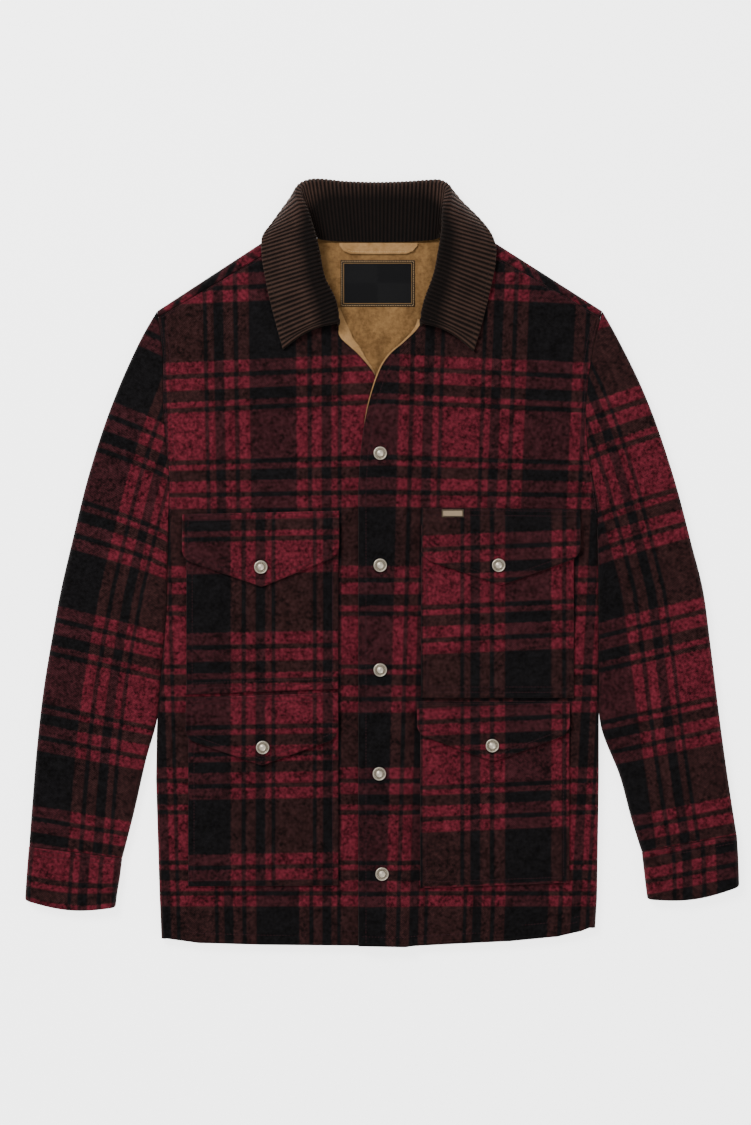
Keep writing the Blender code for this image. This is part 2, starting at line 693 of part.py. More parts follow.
def make_snap(name, x, y, z, segments=14):
    points = []
    faces = []
    for radius, rise in SNAP_PROFILE:
        for k in range(segments):
            turn = 2 * math.pi * k / segments
            points.append((x + radius * math.cos(turn), y + radius * math.sin(turn), z + rise))
    faces += grid_faces(len(SNAP_PROFILE), segments, wrap=True)
    faces.append(tuple(reversed(range(segments))))
    ring = (len(SNAP_PROFILE) - 1) * segments
    points.append((x, y, z + SNAP_TOP))
    for k in range(segments):
        faces.append((ring + k, ring + (k + 1) % segments, len(points) - 1))
    return make_solid(name, points, faces, "snap")


def make_lining():
    rows = [[(mix(left, right, k / 6), y) for k in range(7)] for y, left, right in LINING_ROWS]
    return sheet_on("lining_back", rows, lambda x, y: WALL + LAP + LINING, LINING, "lining")


def make_hanger_loop():
    rows = [[(x, mix(top, low, k / 2)) for x, top, low in LOOP_ROWS] for k in range(3)]
    z = WALL + LAP + LINING + LAP + 1.6
    return sheet_on("hanger_loop", rows, lambda x, y: z, 1.6, "lining")


def make_label(name, box, z):
    left, right, low, high = box
    rows = [[(mix(left, right, k / 4), mix(low, high, r / 2)) for k in range(5)]
            for r in range(3)]
    return sheet_on(name, rows, z, 0.8, "label")


def make_facing(side):
    """Lining cloth that shows past a front's neck edge, made from that edge's points."""
    height = front_height(side)
    widths = FACING_WIDTH[side]
    outer_rows = []
    inner_rows = []
    for centre_x, centre_y, side_y in front_rows(side):
        if not widths[0][0] <= centre_y <= widths[-1][0]:
            continue
        side_x = along(ARMHOLE[side], side_y)
        beyond = (Vector((centre_x, centre_y)) - Vector((side_x, side_y))).normalized()
        width = along(widths, centre_y)
        top = height(centre_x, centre_y) - 0.5
        drop = 2.6 if side == "right" else 1.2
        row = []
        for share in (0, 0.5, 1):
            p = Vector((centre_x, centre_y)) + beyond * (2 * SEAM + width * share)
            row.append((p.x, p.y, top - drop * share))
        outer_rows.append(row)
        inner_rows.append([(x, y, z - 1.2) for x, y, z in row])
    return grid_solid("facing_" + side, outer_rows, inner_rows, "lining")


def build_jacket():
    make_back()
    for side in ("right", "left"):
        make_front(side)
        make_sleeve(side)
        make_cuff(side)
        make_facing(side)
    make_collar()
    make_lining()
    make_hanger_loop()
    make_label("neck_label", NECK_LABEL, lambda x, y: WALL + 2 * LAP + LINING + 0.8)
    for key, (x, y) in FLAP_SNAPS.items():
        make_pocket(key)
        make_flap(key)
        make_snap("snap_flap_" + key, x, y, flap_height(key, x, y) + LAP)
    make_label("pocket_label", POCKET_LABEL,
               lambda x, y: flap_height("upper_left", x, y) + LAP + 0.8)
    for k, (x, y) in enumerate(FRONT_SNAPS):
        make_snap(f"snap_front_{k + 1}", x, y, front_height("left")(x, y) + LAP)


for old in list(bpy.data.objects):
    bpy.data.objects.remove(old)
build_jacket()
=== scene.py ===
# Lined plaid wool jacket, laid flat on its back and snapped shut
# Tables are in millimetres, and newMesh turns them into metres
# Right and left are the wearer's, so the right front is on the -X side
import math

import bmesh
import bpy
import numpy as np
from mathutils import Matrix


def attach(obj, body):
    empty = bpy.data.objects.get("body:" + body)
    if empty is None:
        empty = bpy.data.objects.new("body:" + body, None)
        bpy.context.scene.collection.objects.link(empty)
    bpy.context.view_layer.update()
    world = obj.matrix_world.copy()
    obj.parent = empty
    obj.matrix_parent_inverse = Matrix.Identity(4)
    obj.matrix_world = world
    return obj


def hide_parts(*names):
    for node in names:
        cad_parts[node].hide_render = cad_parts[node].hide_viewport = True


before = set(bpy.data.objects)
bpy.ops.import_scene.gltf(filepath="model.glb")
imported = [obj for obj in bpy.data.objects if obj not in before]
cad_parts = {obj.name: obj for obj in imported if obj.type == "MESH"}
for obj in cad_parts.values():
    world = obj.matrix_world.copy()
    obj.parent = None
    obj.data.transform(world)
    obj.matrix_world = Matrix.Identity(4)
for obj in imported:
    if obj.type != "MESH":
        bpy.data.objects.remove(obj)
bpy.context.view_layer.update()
mm = 0.001

# Camera, floor and light
view = {
    "imageSize": (751, 1125), "pixel": 1.10, "pixelOfOrigin": (382.0, 562.5),
    "distance": 3.0, "sensor": 24.0, "clothHeight": 0.012,
}
studio = {
    "floorSize": 14.0, "floorTone": (0.95, 0.95, 0.95, 1), "skyTone": (1, 1, 1, 1), "sky": 0.6,
    "floorGlow": 3.0,
    "lamps": [  # name, place, size, watts
        ("key", (-1.5, 1.7, 2.3), 1.2, 110), ("fill", (1.9, -0.6, 2.6), 2.4, 26),
        ("front", (-0.3, -2.2, 2.2), 2.0, 14)],
}


def addCamera():
    lens = bpy.data.cameras.new("camera")
    camera = bpy.data.objects.new("camera", lens)
    bpy.context.collection.objects.link(camera)
    height = view["imageSize"][1] * view["pixel"] * mm
    lens.type = "PERSP"
    lens.sensor_fit = "VERTICAL"
    lens.sensor_height = view["sensor"]
    lens.lens = view["sensor"] * view["distance"] / height
    lens.clip_end = 30
    middleX = (view["imageSize"][0] / 2 - view["pixelOfOrigin"][0]) * view["pixel"] * mm
    middleY = (view["pixelOfOrigin"][1] - view["imageSize"][1] / 2) * view["pixel"] * mm
    camera.location = (middleX, middleY, view["distance"] + view["clothHeight"])
    bpy.context.scene.camera = camera


def addStudio():
    bpy.ops.object.select_all(action="DESELECT")
    bpy.ops.mesh.primitive_plane_add(size=studio["floorSize"], location=(0, 0, -0.0004))
    floor = bpy.context.object
    floor.name = "floor"
    tone = bpy.data.materials.new("paleFloor")
    tone.use_nodes = True
    shader = tone.node_tree.nodes["Principled BSDF"]
    shader.inputs["Base Color"].default_value = studio["floorTone"]
    shader.inputs["Roughness"].default_value = 0.9
    shader.inputs["Specular IOR Level"].default_value = 0.1
    shader.inputs["Emission Color"].default_value = studio["floorTone"]
    shader.inputs["Emission Strength"].default_value = studio["floorGlow"]
    floor.data.materials.append(tone)
    for name, place, size, watts in studio["lamps"]:
        lamp = bpy.data.lights.new(name, "AREA")
        lamp.size = size
        lamp.energy = watts
        holder = bpy.data.objects.new(name, lamp)
        holder.location = place
        away = holder.location.normalized()
        holder.rotation_euler = away.to_track_quat("Z", "Y").to_euler()
        bpy.context.collection.objects.link(holder)
    world = bpy.data.worlds.new("softRoom")
    world.use_nodes = True
    sky = world.node_tree.nodes["Background"]
    sky.inputs["Color"].default_value = studio["skyTone"]
    sky.inputs["Strength"].default_value = studio["sky"]
    bpy.context.scene.world = world


# Materials
class Field:
    def __init__(self, tree, socket):
        self.tree = tree
        self.socket = socket

    def make(self, kind, settings, sockets, output=0):
        node = self.tree.nodes.new(kind)
        for name, value in settings.items():
            if name == "stops":
                stops = node.color_ramp.elements
                while len(stops) < len(value):
                    stops.new(0.5)
                for stop, (place, tone) in zip(stops, value):
                    stop.position = place
                    stop.color = (tone, tone, tone, 1)
            else:
                setattr(node, name, value)
        for name, value in sockets.items():
            if isinstance(value, Field):
                self.tree.links.new(value.socket, node.inputs[name])
            else:
                node.inputs[name].default_value = value
        return Field(self.tree, node.outputs[output])

    def math(self, operation, a, b=0.0):
        return self.make("ShaderNodeMath", {"operation": operation}, {0: a, 1: b})

    def __add__(self, other):
        return self.math("ADD", self, other)

    def __radd__(self, other):
        return self.math("ADD", other, self)

    def __sub__(self, other):
        return self.math("SUBTRACT", self, other)

    def __rsub__(self, other):
        return self.math("SUBTRACT", other, self)

    def __mul__(self, other):
        return self.math("MULTIPLY", self, other)

    def __rmul__(self, other):
        return self.math("MULTIPLY", other, self)

    def wave(self):  # 0 to 1 and back, once over each whole number
        return self.math("SINE", self * (2 * math.pi)) * 0.5 + 0.5

    def between(self, a, b):  # colours, by this mask
        return self.make("ShaderNodeMix", {"data_type": "RGBA"}, {0: self, 6: a, 7: b}, 2)

    def shade(self, colour):  # a colour made lighter or darker by this field
        settings = {"data_type": "RGBA", "blend_type": "MULTIPLY"}
        return self.make("ShaderNodeMix", settings, {0: 1.0, 6: colour, 7: self}, 2)


def startFinish(name, roughness, sheen=0.0, sheenTone=(1, 1, 1, 1), metallic=0.0, specular=0.25):
    finish = bpy.data.materials.new(name)
    finish.use_nodes = True
    tree = finish.node_tree
    shader = tree.nodes["Principled BSDF"]
    shader.inputs["Roughness"].default_value = roughness
    shader.inputs["Metallic"].default_value = metallic
    shader.inputs["Specular IOR Level"].default_value = specular
    shader.inputs["Sheen Weight"].default_value = sheen
    shader.inputs["Sheen Roughness"].default_value = 0.45
    shader.inputs["Sheen Tint"].default_value = sheenTone
    spot = Field(tree, None)
    place = spot.make("ShaderNodeTexCoord", {}, {}, "Object")
    cut = spot.make("ShaderNodeUVMap", {"uv_map": "cut"}, {})
    return finish, shader, place, cut


def speckle(place, perMetre, detail=2.0, roughness=0.6):
    settings = {"noise_dimensions": "3D"}
    values = {"Vector": place, "Scale": perMetre, "Detail": detail, "Roughness": roughness}
    return place.make("ShaderNodeTexNoise", settings, values)


def finishWith(shader, place, colour, height, strength, distance):
    bump = place.make("ShaderNodeBump", {}, {
        "Height": height, "Strength": strength, "Distance": distance})
    tree = place.tree
    tree.links.new(colour.socket, shader.inputs["Base Color"])
    tree.links.new(bump.socket, shader.inputs["Normal"])


plaid = {
    # widths from the middle of the dark stripe to the middle of the red one, dark first
    "warp": (23.0, 10.5, 4.5, 9.5, 9.75, 6.0, 4.0, 18.5),
    "weft": (29.0, 11.5, 5.0, 11.5, 11.5, 5.5, 5.0, 24.5),
    "edge": 0.8,
    "both": (0.087, 0.0088, 0.0155, 1), "none": (0.0036, 0.0033, 0.0037, 1),
    "warpOnly": ((0.0095, 0.0046, 0.0045, 1), (0.031, 0.0095, 0.0092, 1)),
    "weftOnly": ((0.0115, 0.0047, 0.0054, 1), (0.045, 0.0080, 0.0110, 1)),
    "settWidth": 190.0, "settLength": 222.0, "twill": 2.3,
}


def stripeStops(widths, edge):
    whole = sum(widths)
    stops = [(0.0, 0.0)]
    reached = 0.0
    for k, width in enumerate(widths[:-1]):
        reached += width
        before, after = (0.0, 1.0) if k % 2 == 0 else (1.0, 0.0)
        stops += [((reached - edge) / whole, before), ((reached + edge) / whole, after)]
    return stops


def plaidWool():
    finish, shader, place, cut = startFinish(
        "plaidWool", 0.92, sheen=0.09, sheenTone=(0.75, 0.55, 0.53, 1), specular=0.08)
    fibre = speckle(place, 900.0, 3.0, 0.7)
    tuft = speckle(place, 270.0, 2.0, 0.6)
    mottle = speckle(place, 75.0, 3.0, 0.6)
    cloud = speckle(place, 9.0, 3.0, 0.5)
    across = cut.make("ShaderNodeSeparateXYZ", {}, {0: cut}, 0)
    down = cut.make("ShaderNodeSeparateXYZ", {}, {0: cut}, 1)
    ragged = (tuft - 0.5) * 0.012
    masks = []
    for position, widths in ((across, plaid["warp"]), (down, plaid["weft"])):
        fold = place.math("PINGPONG", position + ragged, 0.5) * 2.0
        stops = stripeStops(widths, plaid["edge"])
        masks.append(place.make("ShaderNodeValToRGB", {"stops": stops}, {0: fold}))
    warp, weft = masks
    lean = across * (plaid["settWidth"] / plaid["twill"]) + down * (plaid["settLength"] / plaid["twill"])
    twill = (lean + (tuft - 0.5) * 1.1).wave()
    warpTone = twill.between(*plaid["warpOnly"])
    weftTone = (1 - twill).between(*plaid["weftOnly"])
    darkRow = weft.between(plaid["none"], weftTone)
    redRow = weft.between(warpTone, plaid["both"])
    colour = warp.between(darkRow, redRow)
    grain = 0.42 + fibre * 0.8 + (tuft - 0.5) * 2.9 + (mottle - 0.5) * 1.7
    grain = grain + (cloud - 0.5) * 0.5 + (twill - 0.5) * 0.16
    grain = place.math("MAXIMUM", grain, 0.15)
    lint = place.make("ShaderNodeValToRGB", {"stops": [(0.66, 0.0), (0.82, 1.0)]}, {0: fibre})
    colour = (lint * 0.14).between(grain.shade(colour), (0.16, 0.10, 0.105, 1))
    height = fibre * 0.5 + tuft * 0.6 + twill * 0.35
    finishWith(shader, place, colour, height, 0.75, 0.0006)
    return finish


corduroy = {
    # the valley colour is the ground between the wales, partly its own darker tone and partly painted shade in the
    # grooves
    "valleyToneAndShade": (0.0030, 0.0017, 0.0013, 1), "ridge": (0.052, 0.0265, 0.0190, 1),
    # standPaintedShade: painted shade, how dark the collar stand is made where it faces into the neck opening
    "standPaintedShade": 0.16, "pile": 1400.0,
}


def corduroyPile():
    finish, shader, place, cut = startFinish(
        "corduroyPile", 0.85, sheen=0.14, sheenTone=(0.50, 0.36, 0.30, 1), specular=0.1)
    wale = cut.make("ShaderNodeSeparateXYZ", {}, {0: cut}, 0)
    down = cut.make("ShaderNodeSeparateXYZ", {}, {0: cut}, 1)
    pile = speckle(place, corduroy["pile"], 2.0, 0.7)
    patch = speckle(place, 55.0, 3.0, 0.6)
    ridge = place.math("PINGPONG", wale, 0.5) * 2.0
    # light wale ridges and near-black grooves: partly the pile's own tone, partly painted shade in the grooves
    # between the wales
    tone = ridge * 0.85 + (pile - 0.5) * 0.8 + (patch - 0.5) * 0.5
    soft = place.make("ShaderNodeValToRGB", {"stops": [(0.22, 0.0), (0.95, 1.0)]}, {0: tone})
    colour = soft.between(corduroy["valleyToneAndShade"], corduroy["ridge"])
    # painted shade: the stand part of the collar (low v, before the fold) is darkened to stand in for the shade
    # inside the neck opening
    turned = place.make("ShaderNodeValToRGB", {
        "stops": [(0.36, corduroy["standPaintedShade"]), (0.52, 1.0)]}, {0: down})
    colour = turned.shade(colour)
    finishWith(shader, place, colour, pile * 0.6 + ridge * 0.4, 0.8, 0.0006)
    return finish


linings = {
    "tan": (0.105, 0.052, 0.017, 1), "pale": (0.235, 0.128, 0.048, 1), "twill": 1.5,
    "bandTan": (0.215, 0.115, 0.042, 1), "bandPale": (0.34, 0.195, 0.082, 1),
}


def brushedLining(name, tan, pale):
    finish, shader, place, cut = startFinish(
        name, 0.9, sheen=0.12, sheenTone=(0.9, 0.75, 0.6, 1), specular=0.12)
    nap = speckle(place, 1100.0, 3.0, 0.7)
    patch = speckle(place, 60.0, 4.0, 0.6)
    right = place.make("ShaderNodeSeparateXYZ", {}, {0: place}, 0)
    up = place.make("ShaderNodeSeparateXYZ", {}, {0: place}, 1)
    twill = ((right + up) * (1000.0 / linings["twill"]) + (nap - 0.5) * 1.2).wave()
    mottle = speckle(place, 300.0, 2.0, 0.6)
    tone = (patch - 0.5) * 2.4 + (mottle - 0.5) * 1.2 + 0.45
    tone = tone + (twill - 0.5) * 0.2 + (nap - 0.5) * 0.5
    colour = tone.between(tan, pale)
    finishWith(shader, place, colour, nap * 0.7 + twill * 0.4, 0.6, 0.0004)
    return finish


def wovenLabel(name, field, border, frameInset, frameWidth):
    finish, shader, place, cut = startFinish(name, 0.7, sheen=0.03, specular=0.12)
    right = cut.make("ShaderNodeSeparateXYZ", {}, {0: cut}, 0)
    up = cut.make("ShaderNodeSeparateXYZ", {}, {0: cut}, 1)
    # the cut map holds the distance from the side edges and from the top and bottom edges
    near = place.math("MINIMUM", right, up)
    line = place.math("COMPARE", near, frameInset)
    line = place.make("ShaderNodeMath", {"operation": "COMPARE"}, {0: near, 1: frameInset, 2: frameWidth / 2})
    weave = (right * 2.4 + up * 2.4).wave()
    nap = speckle(place, 1500.0)
    colour = line.between(field, border)
    colour = (0.7 + weave * 0.3 + nap * 0.3).shade(colour)
    finishWith(shader, place, colour, weave + nap * 0.5, 0.5, 0.0003)
    return finish


def agedMetal(name, tone, dark, roughness):
    finish, shader, place, cut = startFinish(name, roughness, metallic=1.0, specular=0.5)
    scratch = speckle(place, 700.0, 4.0, 0.7)
    patch = speckle(place, 260.0, 2.0, 0.5)
    colour = (scratch * 0.6 + patch * 0.5 - 0.1).between(dark, tone)
    rough = scratch * 0.25 + (roughness - 0.1)
    place.tree.links.new(rough.socket, shader.inputs["Roughness"])
    finishWith(shader, place, colour, scratch, 0.25, 0.0002)
    return finish


def sewingThread(name, tone):
    finish, shader, place, cut = startFinish(name, 0.75, sheen=0.04, specular=0.1)
    ply = speckle(place, 1800.0)
    colour = (0.6 + ply * 0.8).shade(place.make("ShaderNodeRGB", {}, {}) if False else tone)
    finishWith(shader, place, colour, ply, 0.4, 0.0002)
    return finish


finishes = {}


def makeFinishes():
    finishes["wool"] = plaidWool()
    finishes["corduroy"] = corduroyPile()
    finishes["lining"] = brushedLining("brushedLining", linings["tan"], linings["pale"])
    finishes["band"] = brushedLining("liningBand", linings["bandTan"], linings["bandPale"])
    finishes["neckLabel"] = wovenLabel(
        "neckLabelWeave", (0.0035, 0.0035, 0.0040, 1), (0.15, 0.085, 0.032, 1), 3.2, 0.9)
    finishes["pocketLabel"] = wovenLabel(
        "pocketLabelWeave", (0.30, 0.22, 0.14, 1), (0.03, 0.025, 0.02, 1), 0.7, 0.9)
    finishes["snap"] = agedMetal("agedNickel", (0.74, 0.67, 0.56, 1), (0.42, 0.36, 0.28, 1), 0.38)
    finishes["snapDark"] = agedMetal("darkNickel", (0.30, 0.27, 0.21, 1), (0.10, 0.085, 0.06, 1), 0.5)
    finishes["wineThread"] = sewingThread("wineThread", (0.030, 0.009, 0.012, 1))
    finishes["brownThread"] = sewingThread("brownThread", (0.022, 0.013, 0.010, 1))
    finishes["tanThread"] = sewingThread("tanThread", (0.42, 0.27, 0.13, 1))
    print("materials made:", len(finishes))


# Curves and tables
def softStep(low, high, value):
    t = np.clip((value - low) / (high - low), 0, 1)
    return t * t * (3 - 2 * t)


def readTable(table, at, column=1):
    rows = sorted(table)
    return np.interp(at, [row[0] for row in rows], [row[column] for row in rows])


def smoothRows(rows, places):
    table = np.array(rows, dtype=float)
    last = len(table) - 1
    at = np.asarray(places, dtype=float) * last
    k = np.clip(at.astype(int), 0, last - 1)
    t = (at - k)[:, None]
    a, b, c, d = (table[np.clip(k + i, 0, last)] for i in (-1, 0, 1, 2))
    return 0.5 * (2 * b + (c - a) * t + (2 * a - 5 * b + 4 * c - d) * t ** 2
                  + (3 * b - a - 3 * c + d) * t ** 3)


def runLength(line):
    steps = np.linalg.norm(np.diff(line, axis=0), axis=1)
    return np.concatenate([[0.0], np.cumsum(steps)])


def resample(line, spacing):
    reached = runLength(line)
    count = max(2, int(round(reached[-1] / spacing)) + 1)
    wanted = np.linspace(0, reached[-1], count)
    return np.stack([np.interp(wanted, reached, line[:, i]) for i in range(line.shape[1])], axis=1)


edgeSteps = (0, 0.3, 0.8, 1.5, 2.3, 3.2, 4.2, 5.2, 6.2, 7.2, 8.3, 9.6)


def graded(total, step, low=True, high=True):
    start = np.array(edgeSteps if low else [0.0])
    end = total - np.array(edgeSteps if high else [0.0])[::-1]
    count = max(2, int(round((end[0] - start[-1]) / step)) + 1)
    middle = np.linspace(start[-1], end[0], count)[1:-1]
    return np.concatenate([start, middle, end])


def distanceTo(points, line):
    best = np.full(points.shape[:-1], 1e9)
    for a, b in zip(line, line[1:]):
        run = b - a
        share = np.clip(((points - a) @ run) / max(run @ run, 1e-9), 0, 1)
        gap = points - a - share[..., None] * run
        best = np.minimum(best, np.sqrt((gap ** 2).sum(axis=-1)))
    return best


def roundOff(off, radius):
    inside = np.clip(radius - off, 0, radius)
    return radius - np.sqrt(radius * radius - inside * inside)


# Cloth meshes
class Cloth:
    def __init__(self):
        self.outer = []
        self.inner = []
        self.count = 0
        self.faces = []
        self.cuts = []

    def put(self, outer, inner):
        shape = outer.shape[:-1]
        self.outer.append(outer.reshape(-1, 3))
        self.inner.append(inner.reshape(-1, 3))
        ids = np.arange(self.count, self.count + len(self.outer[-1])).reshape(shape)
        self.count += ids.size
        return ids

    def skin(self, ids, cut):
        corners = [(slice(None, -1), slice(None, -1)), (slice(None, -1), slice(1, None)),
                   (slice(1, None), slice(1, None)), (slice(1, None), slice(None, -1))]
        self.faces.append(np.stack([ids[c] for c in corners], axis=-1).reshape(-1, 4))
        self.cuts.append(np.stack([cut[c] for c in corners], axis=-2).reshape(-1, 4, 2))

    def finish(self, name, outside, inside=None):
        outer = np.concatenate(self.outer)
        inner = np.concatenate(self.inner)
        faces = np.concatenate(self.faces)
        cuts = np.concatenate(self.cuts)
        walls, wallCuts = self.rim(faces, cuts)
        back = faces[:, ::-1] + self.count
        allFaces = np.concatenate([faces, walls, back])
        allCuts = np.concatenate([cuts, wallCuts, cuts[:, ::-1]])
        points = np.concatenate([outer, inner])
        a, b, c, d = (points[allFaces[:, i]] for i in range(4))
        volume = (np.cross(a, b) * c).sum() + (np.cross(a, c) * d).sum()
        if volume < 0:
            allFaces = allFaces[:, ::-1]
            allCuts = allCuts[:, ::-1]
        a, b, c, d = (outer[faces[:, i]] for i in range(4))
        area = np.linalg.norm(np.cross(c - a, d - b), axis=1).sum() / 2
        piece = newMesh(name, points, allFaces, allCuts, [outside, inside or outside])
        if inside:
            slots = np.zeros(len(allFaces), dtype=np.int32)
            slots[len(faces) + len(walls):] = 1
            piece.data.polygons.foreach_set("material_index", slots)
        piece["flatArea"] = float(area) * mm * mm
        return piece

    def rim(self, faces, cuts):
        found = {}
        for face, cut in zip(faces.tolist(), cuts.tolist()):
            for k in range(4):
                a, b = face[k], face[(k + 1) % 4]
                if (b, a) in found:
                    del found[(b, a)]
                else:
                    found[(a, b)] = (cut[k], cut[(k + 1) % 4])
        walls = []
        wallCuts = []
        for (a, b), (cutA, cutB) in found.items():
            walls.append((b, a, a + self.count, b + self.count))
            wallCuts.append((cutB, cutA, cutA, cutB))
        return np.array(walls), np.array(wallCuts)


def newMesh(name, points, faces, cuts, kinds):
    mesh = bpy.data.meshes.new(name)
    mesh.from_pydata((np.asarray(points) * mm).tolist(), [], np.asarray(faces).tolist())
    if cuts is not None:
        layer = mesh.uv_layers.new(name="cut")
        layer.data.foreach_set("uv", np.asarray(cuts, dtype=np.float32).ravel())
    for kind in kinds:
        mesh.materials.append(finishes[kind])
    mesh.shade_smooth()
    mesh.set_sharp_from_angle(angle=math.radians(55))
    piece = bpy.data.objects.new(name, mesh)
    bpy.context.collection.objects.link(piece)
    return piece


def place(piece, node, slot, flat=None, carried=()):
    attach(piece, "root")
    if node:
        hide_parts(node)
    if flat:
        allowance = 1.05
        width, length = (size * mm for size in flat)
        area = min(piece["flatArea"] * allowance, width * length)


# Sewing
sewing = {"pitch": 3.4, "length": 2.8, "radius": 0.42, "depth": 0.6, "spread": 1.5, "sink": 0.12}
stitchPlan = [(-0.5, 0.0), (-0.34, 0.8), (0.0, 1.0), (0.34, 0.8), (0.5, 0.0)]


def sew(name, paths, thread, slot, pitch=None):
    pitch = pitch or sewing["pitch"]
    middles = []
    runs = []
    for path in paths:
        if len(path) < 2 or runLength(path)[-1] < pitch * 1.5:
            continue
        spots = resample(path, pitch)
        middles.append((spots[1:] + spots[:-1]) / 2)
        runs.append(spots[1:] - spots[:-1])
    middles = np.concatenate(middles)
    runs = np.concatenate(runs)
    runs = runs / np.linalg.norm(runs, axis=1)[:, None]
    side = np.cross(runs, np.array([0.0, 0.0, 1.0]))
    side = side / np.maximum(np.linalg.norm(side, axis=1), 1e-6)[:, None]
    up = np.cross(side, runs)
    middles = middles - up * sewing["sink"]
    length = sewing["length"] * pitch / sewing["pitch"]
    points = []
    for share, size in stitchPlan:
        turns = [0] if size == 0 else [0, 1, 2, 3]
        for k in turns:
            turn = math.pi / 4 + math.pi / 2 * k
            ring = (side * math.cos(turn) + up * math.sin(turn)) * sewing["radius"] * size
            points.append(middles + runs * length * share + ring)
    count = len(points)
    points = np.stack(points, axis=1).reshape(-1, 3)
    quads = []
    for start in (1, 5):
        quads += [(start + k, start + (k + 1) % 4, start + 4 + (k + 1) % 4, start + 4 + k)
                  for k in range(4)]
    tips = [(0, 1 + (k + 1) % 4, 1 + k) for k in range(4)]
    tips += [(count - 1, 9 + k, 9 + (k + 1) % 4) for k in range(4)]
    faces = []
    for n in range(len(middles)):
        faces += [tuple(i + n * count for i in face) for face in quads + tips]
    mesh = bpy.data.meshes.new(name)
    mesh.from_pydata((points * mm).tolist(), [], faces)
    shape = bmesh.new()
    shape.from_mesh(mesh)
    bmesh.ops.recalc_face_normals(shape, faces=shape.faces)
    shape.to_mesh(mesh)
    shape.free()
    mesh.uv_layers.new(name="cut")
    mesh.materials.append(finishes[thread])
    mesh.shade_smooth()
    piece = bpy.data.objects.new(name, mesh)
    bpy.context.collection.objects.link(piece)
    place(piece, None, slot)
    return piece


def insetLine(line, distance, toward):
    fine = resample(line, sewing["pitch"] / 3)
    run = np.gradient(fine, axis=0)
    run = run / np.linalg.norm(run, axis=1)[:, None]
    normal = np.stack([-run[:, 1], run[:, 0]], axis=1)
    middle = fine[len(fine) // 2]
    if normal[len(fine) // 2] @ (np.asarray(toward) - middle) < 0:
        normal = -normal
    return fine + normal * distance


def stitchLine(surface, line, distance, toward, stops=()):
    inset = insetLine(line, distance, toward)
    keep = np.ones(len(inset), dtype=bool)
    for other, least in stops:
        keep &= distanceTo(inset, other) >= least
    points = np.concatenate([inset, surface(inset)[:, None]], axis=1)
    paths = []
    start = None
    for k, good in enumerate(list(keep) + [False]):
        if good and start is None:
            start = k
        if not good and start is not None:
            if k - start > 3:
                paths.append(points[start:k])
            start = None
    return paths


def trimmedSurface(base, trims):
    def surface(points):
        drop = np.zeros(points.shape[:-1])
        groove = np.zeros(points.shape[:-1])
        for line, radius, rows in trims:
            off = distanceTo(points, line)
            drop = np.maximum(drop, roundOff(off, radius))
            for at in rows:
                groove = np.maximum(groove, np.exp(-((off - at) / sewing["spread"]) ** 2))
        return base(points[..., 0], points[..., 1]) - drop - groove * sewing["depth"]
    return surface


# Body
body = {
    "wall": 5.0, "flat": 12.0, "roll": 6.0, "seam": 0.05, "lap": 0.4, "turnUnder": 24.0,
    "underarm": 46.0, "lapLift": (24.5, 36.0), "shoulderReach": 0.997, "shoulderIn": (15.0, 7.0),
    "shoulderSlant": {"right": 0.42, "left": 0.31},
    "hemShort": 2.0, "armholeStitch": (2.2, 7.6), "hemStitch": (11.0, 16.5),
    "placketStitch": {"left": (8.4, 48.0), "right": (8.4,)}, "neckStitch": 7.0,
    "step": 3.1, "backStep": 7.0, "edge": 2.4, "seamEdge": 1.7,
}
sideLine = {
    "right": [(-410, -243), (-371, -245), (-305, -247), (-239, -249), (-181, -248),
              (-151, -246), (-85, -240), (-41, -237), (25, -237), (46, -235.5)],
    "left": [(-400, 235), (-371, 237), (-305, 238), (-239, 239), (-150, 239),
             (-41, 239), (46, 238.5)],
}
armhole = {
    "right": [(46, -235.5), (75, -234), (96, -234), (134, -238), (171, -241), (228, -241),
              (255, -244), (277, -248)],
    "left": [(46, 238.5), (64, 236.6), (90, 232.6), (127, 226), (166, 224), (203, 227),
             (241, 233), (277, 243)],
}
hem = [(-243, -410), (-238, -414), (-202, -419), (-132, -421), (-28, -422), (24, -423),
       (79, -420), (141, -417), (193, -412), (219, -406), (235, -400)]
shoulder = {"right": ((-101, 373), (-248, 277)), "left": ((97, 370), (243, 277))}
backNeck = [(-87, 360), (-72, 357.5), (-40, 356.5), (0, 356), (38, 356.5), (62, 359.4), (80, 362)]
frontTable = {
    "right": [  # centre x, centre y, side y
        (21.5, -422, -410), (21.5, -385, -375), (21.5, -305, -305), (21.5, -239, -239),
        (21.5, -160, -160), (21.5, -80, -80), (21.5, -10, -10), (21.5, 46, 46),
        (19, 66, 62), (15, 105, 95), (8, 150, 130), (0, 184, 160), (-9, 208, 184),
        (-26, 229, 206), (-46, 248, 222), (-48, 262, 232), (-53, 287, 242),
        (-65, 312, 250), (-71, 342, 259), (-92.6, 359.6, 270.6)],
    "left": [
        (-26, -423, -400), (-26, -385, -375), (-26, -305, -305), (-26, -239, -239),
        (-26, -160, -160), (-26, -80, -80), (-26, -10, -10), (-26, 46, 46),
        (-26, 79, 66), (-23, 125, 100), (-16, 169, 135), (-4, 208, 170), (8, 228, 190),
        (26, 244, 208), (42, 262, 224), (48, 285, 236), (59, 316, 247), (64, 342, 258),
        (87, 357, 268.4)],
}
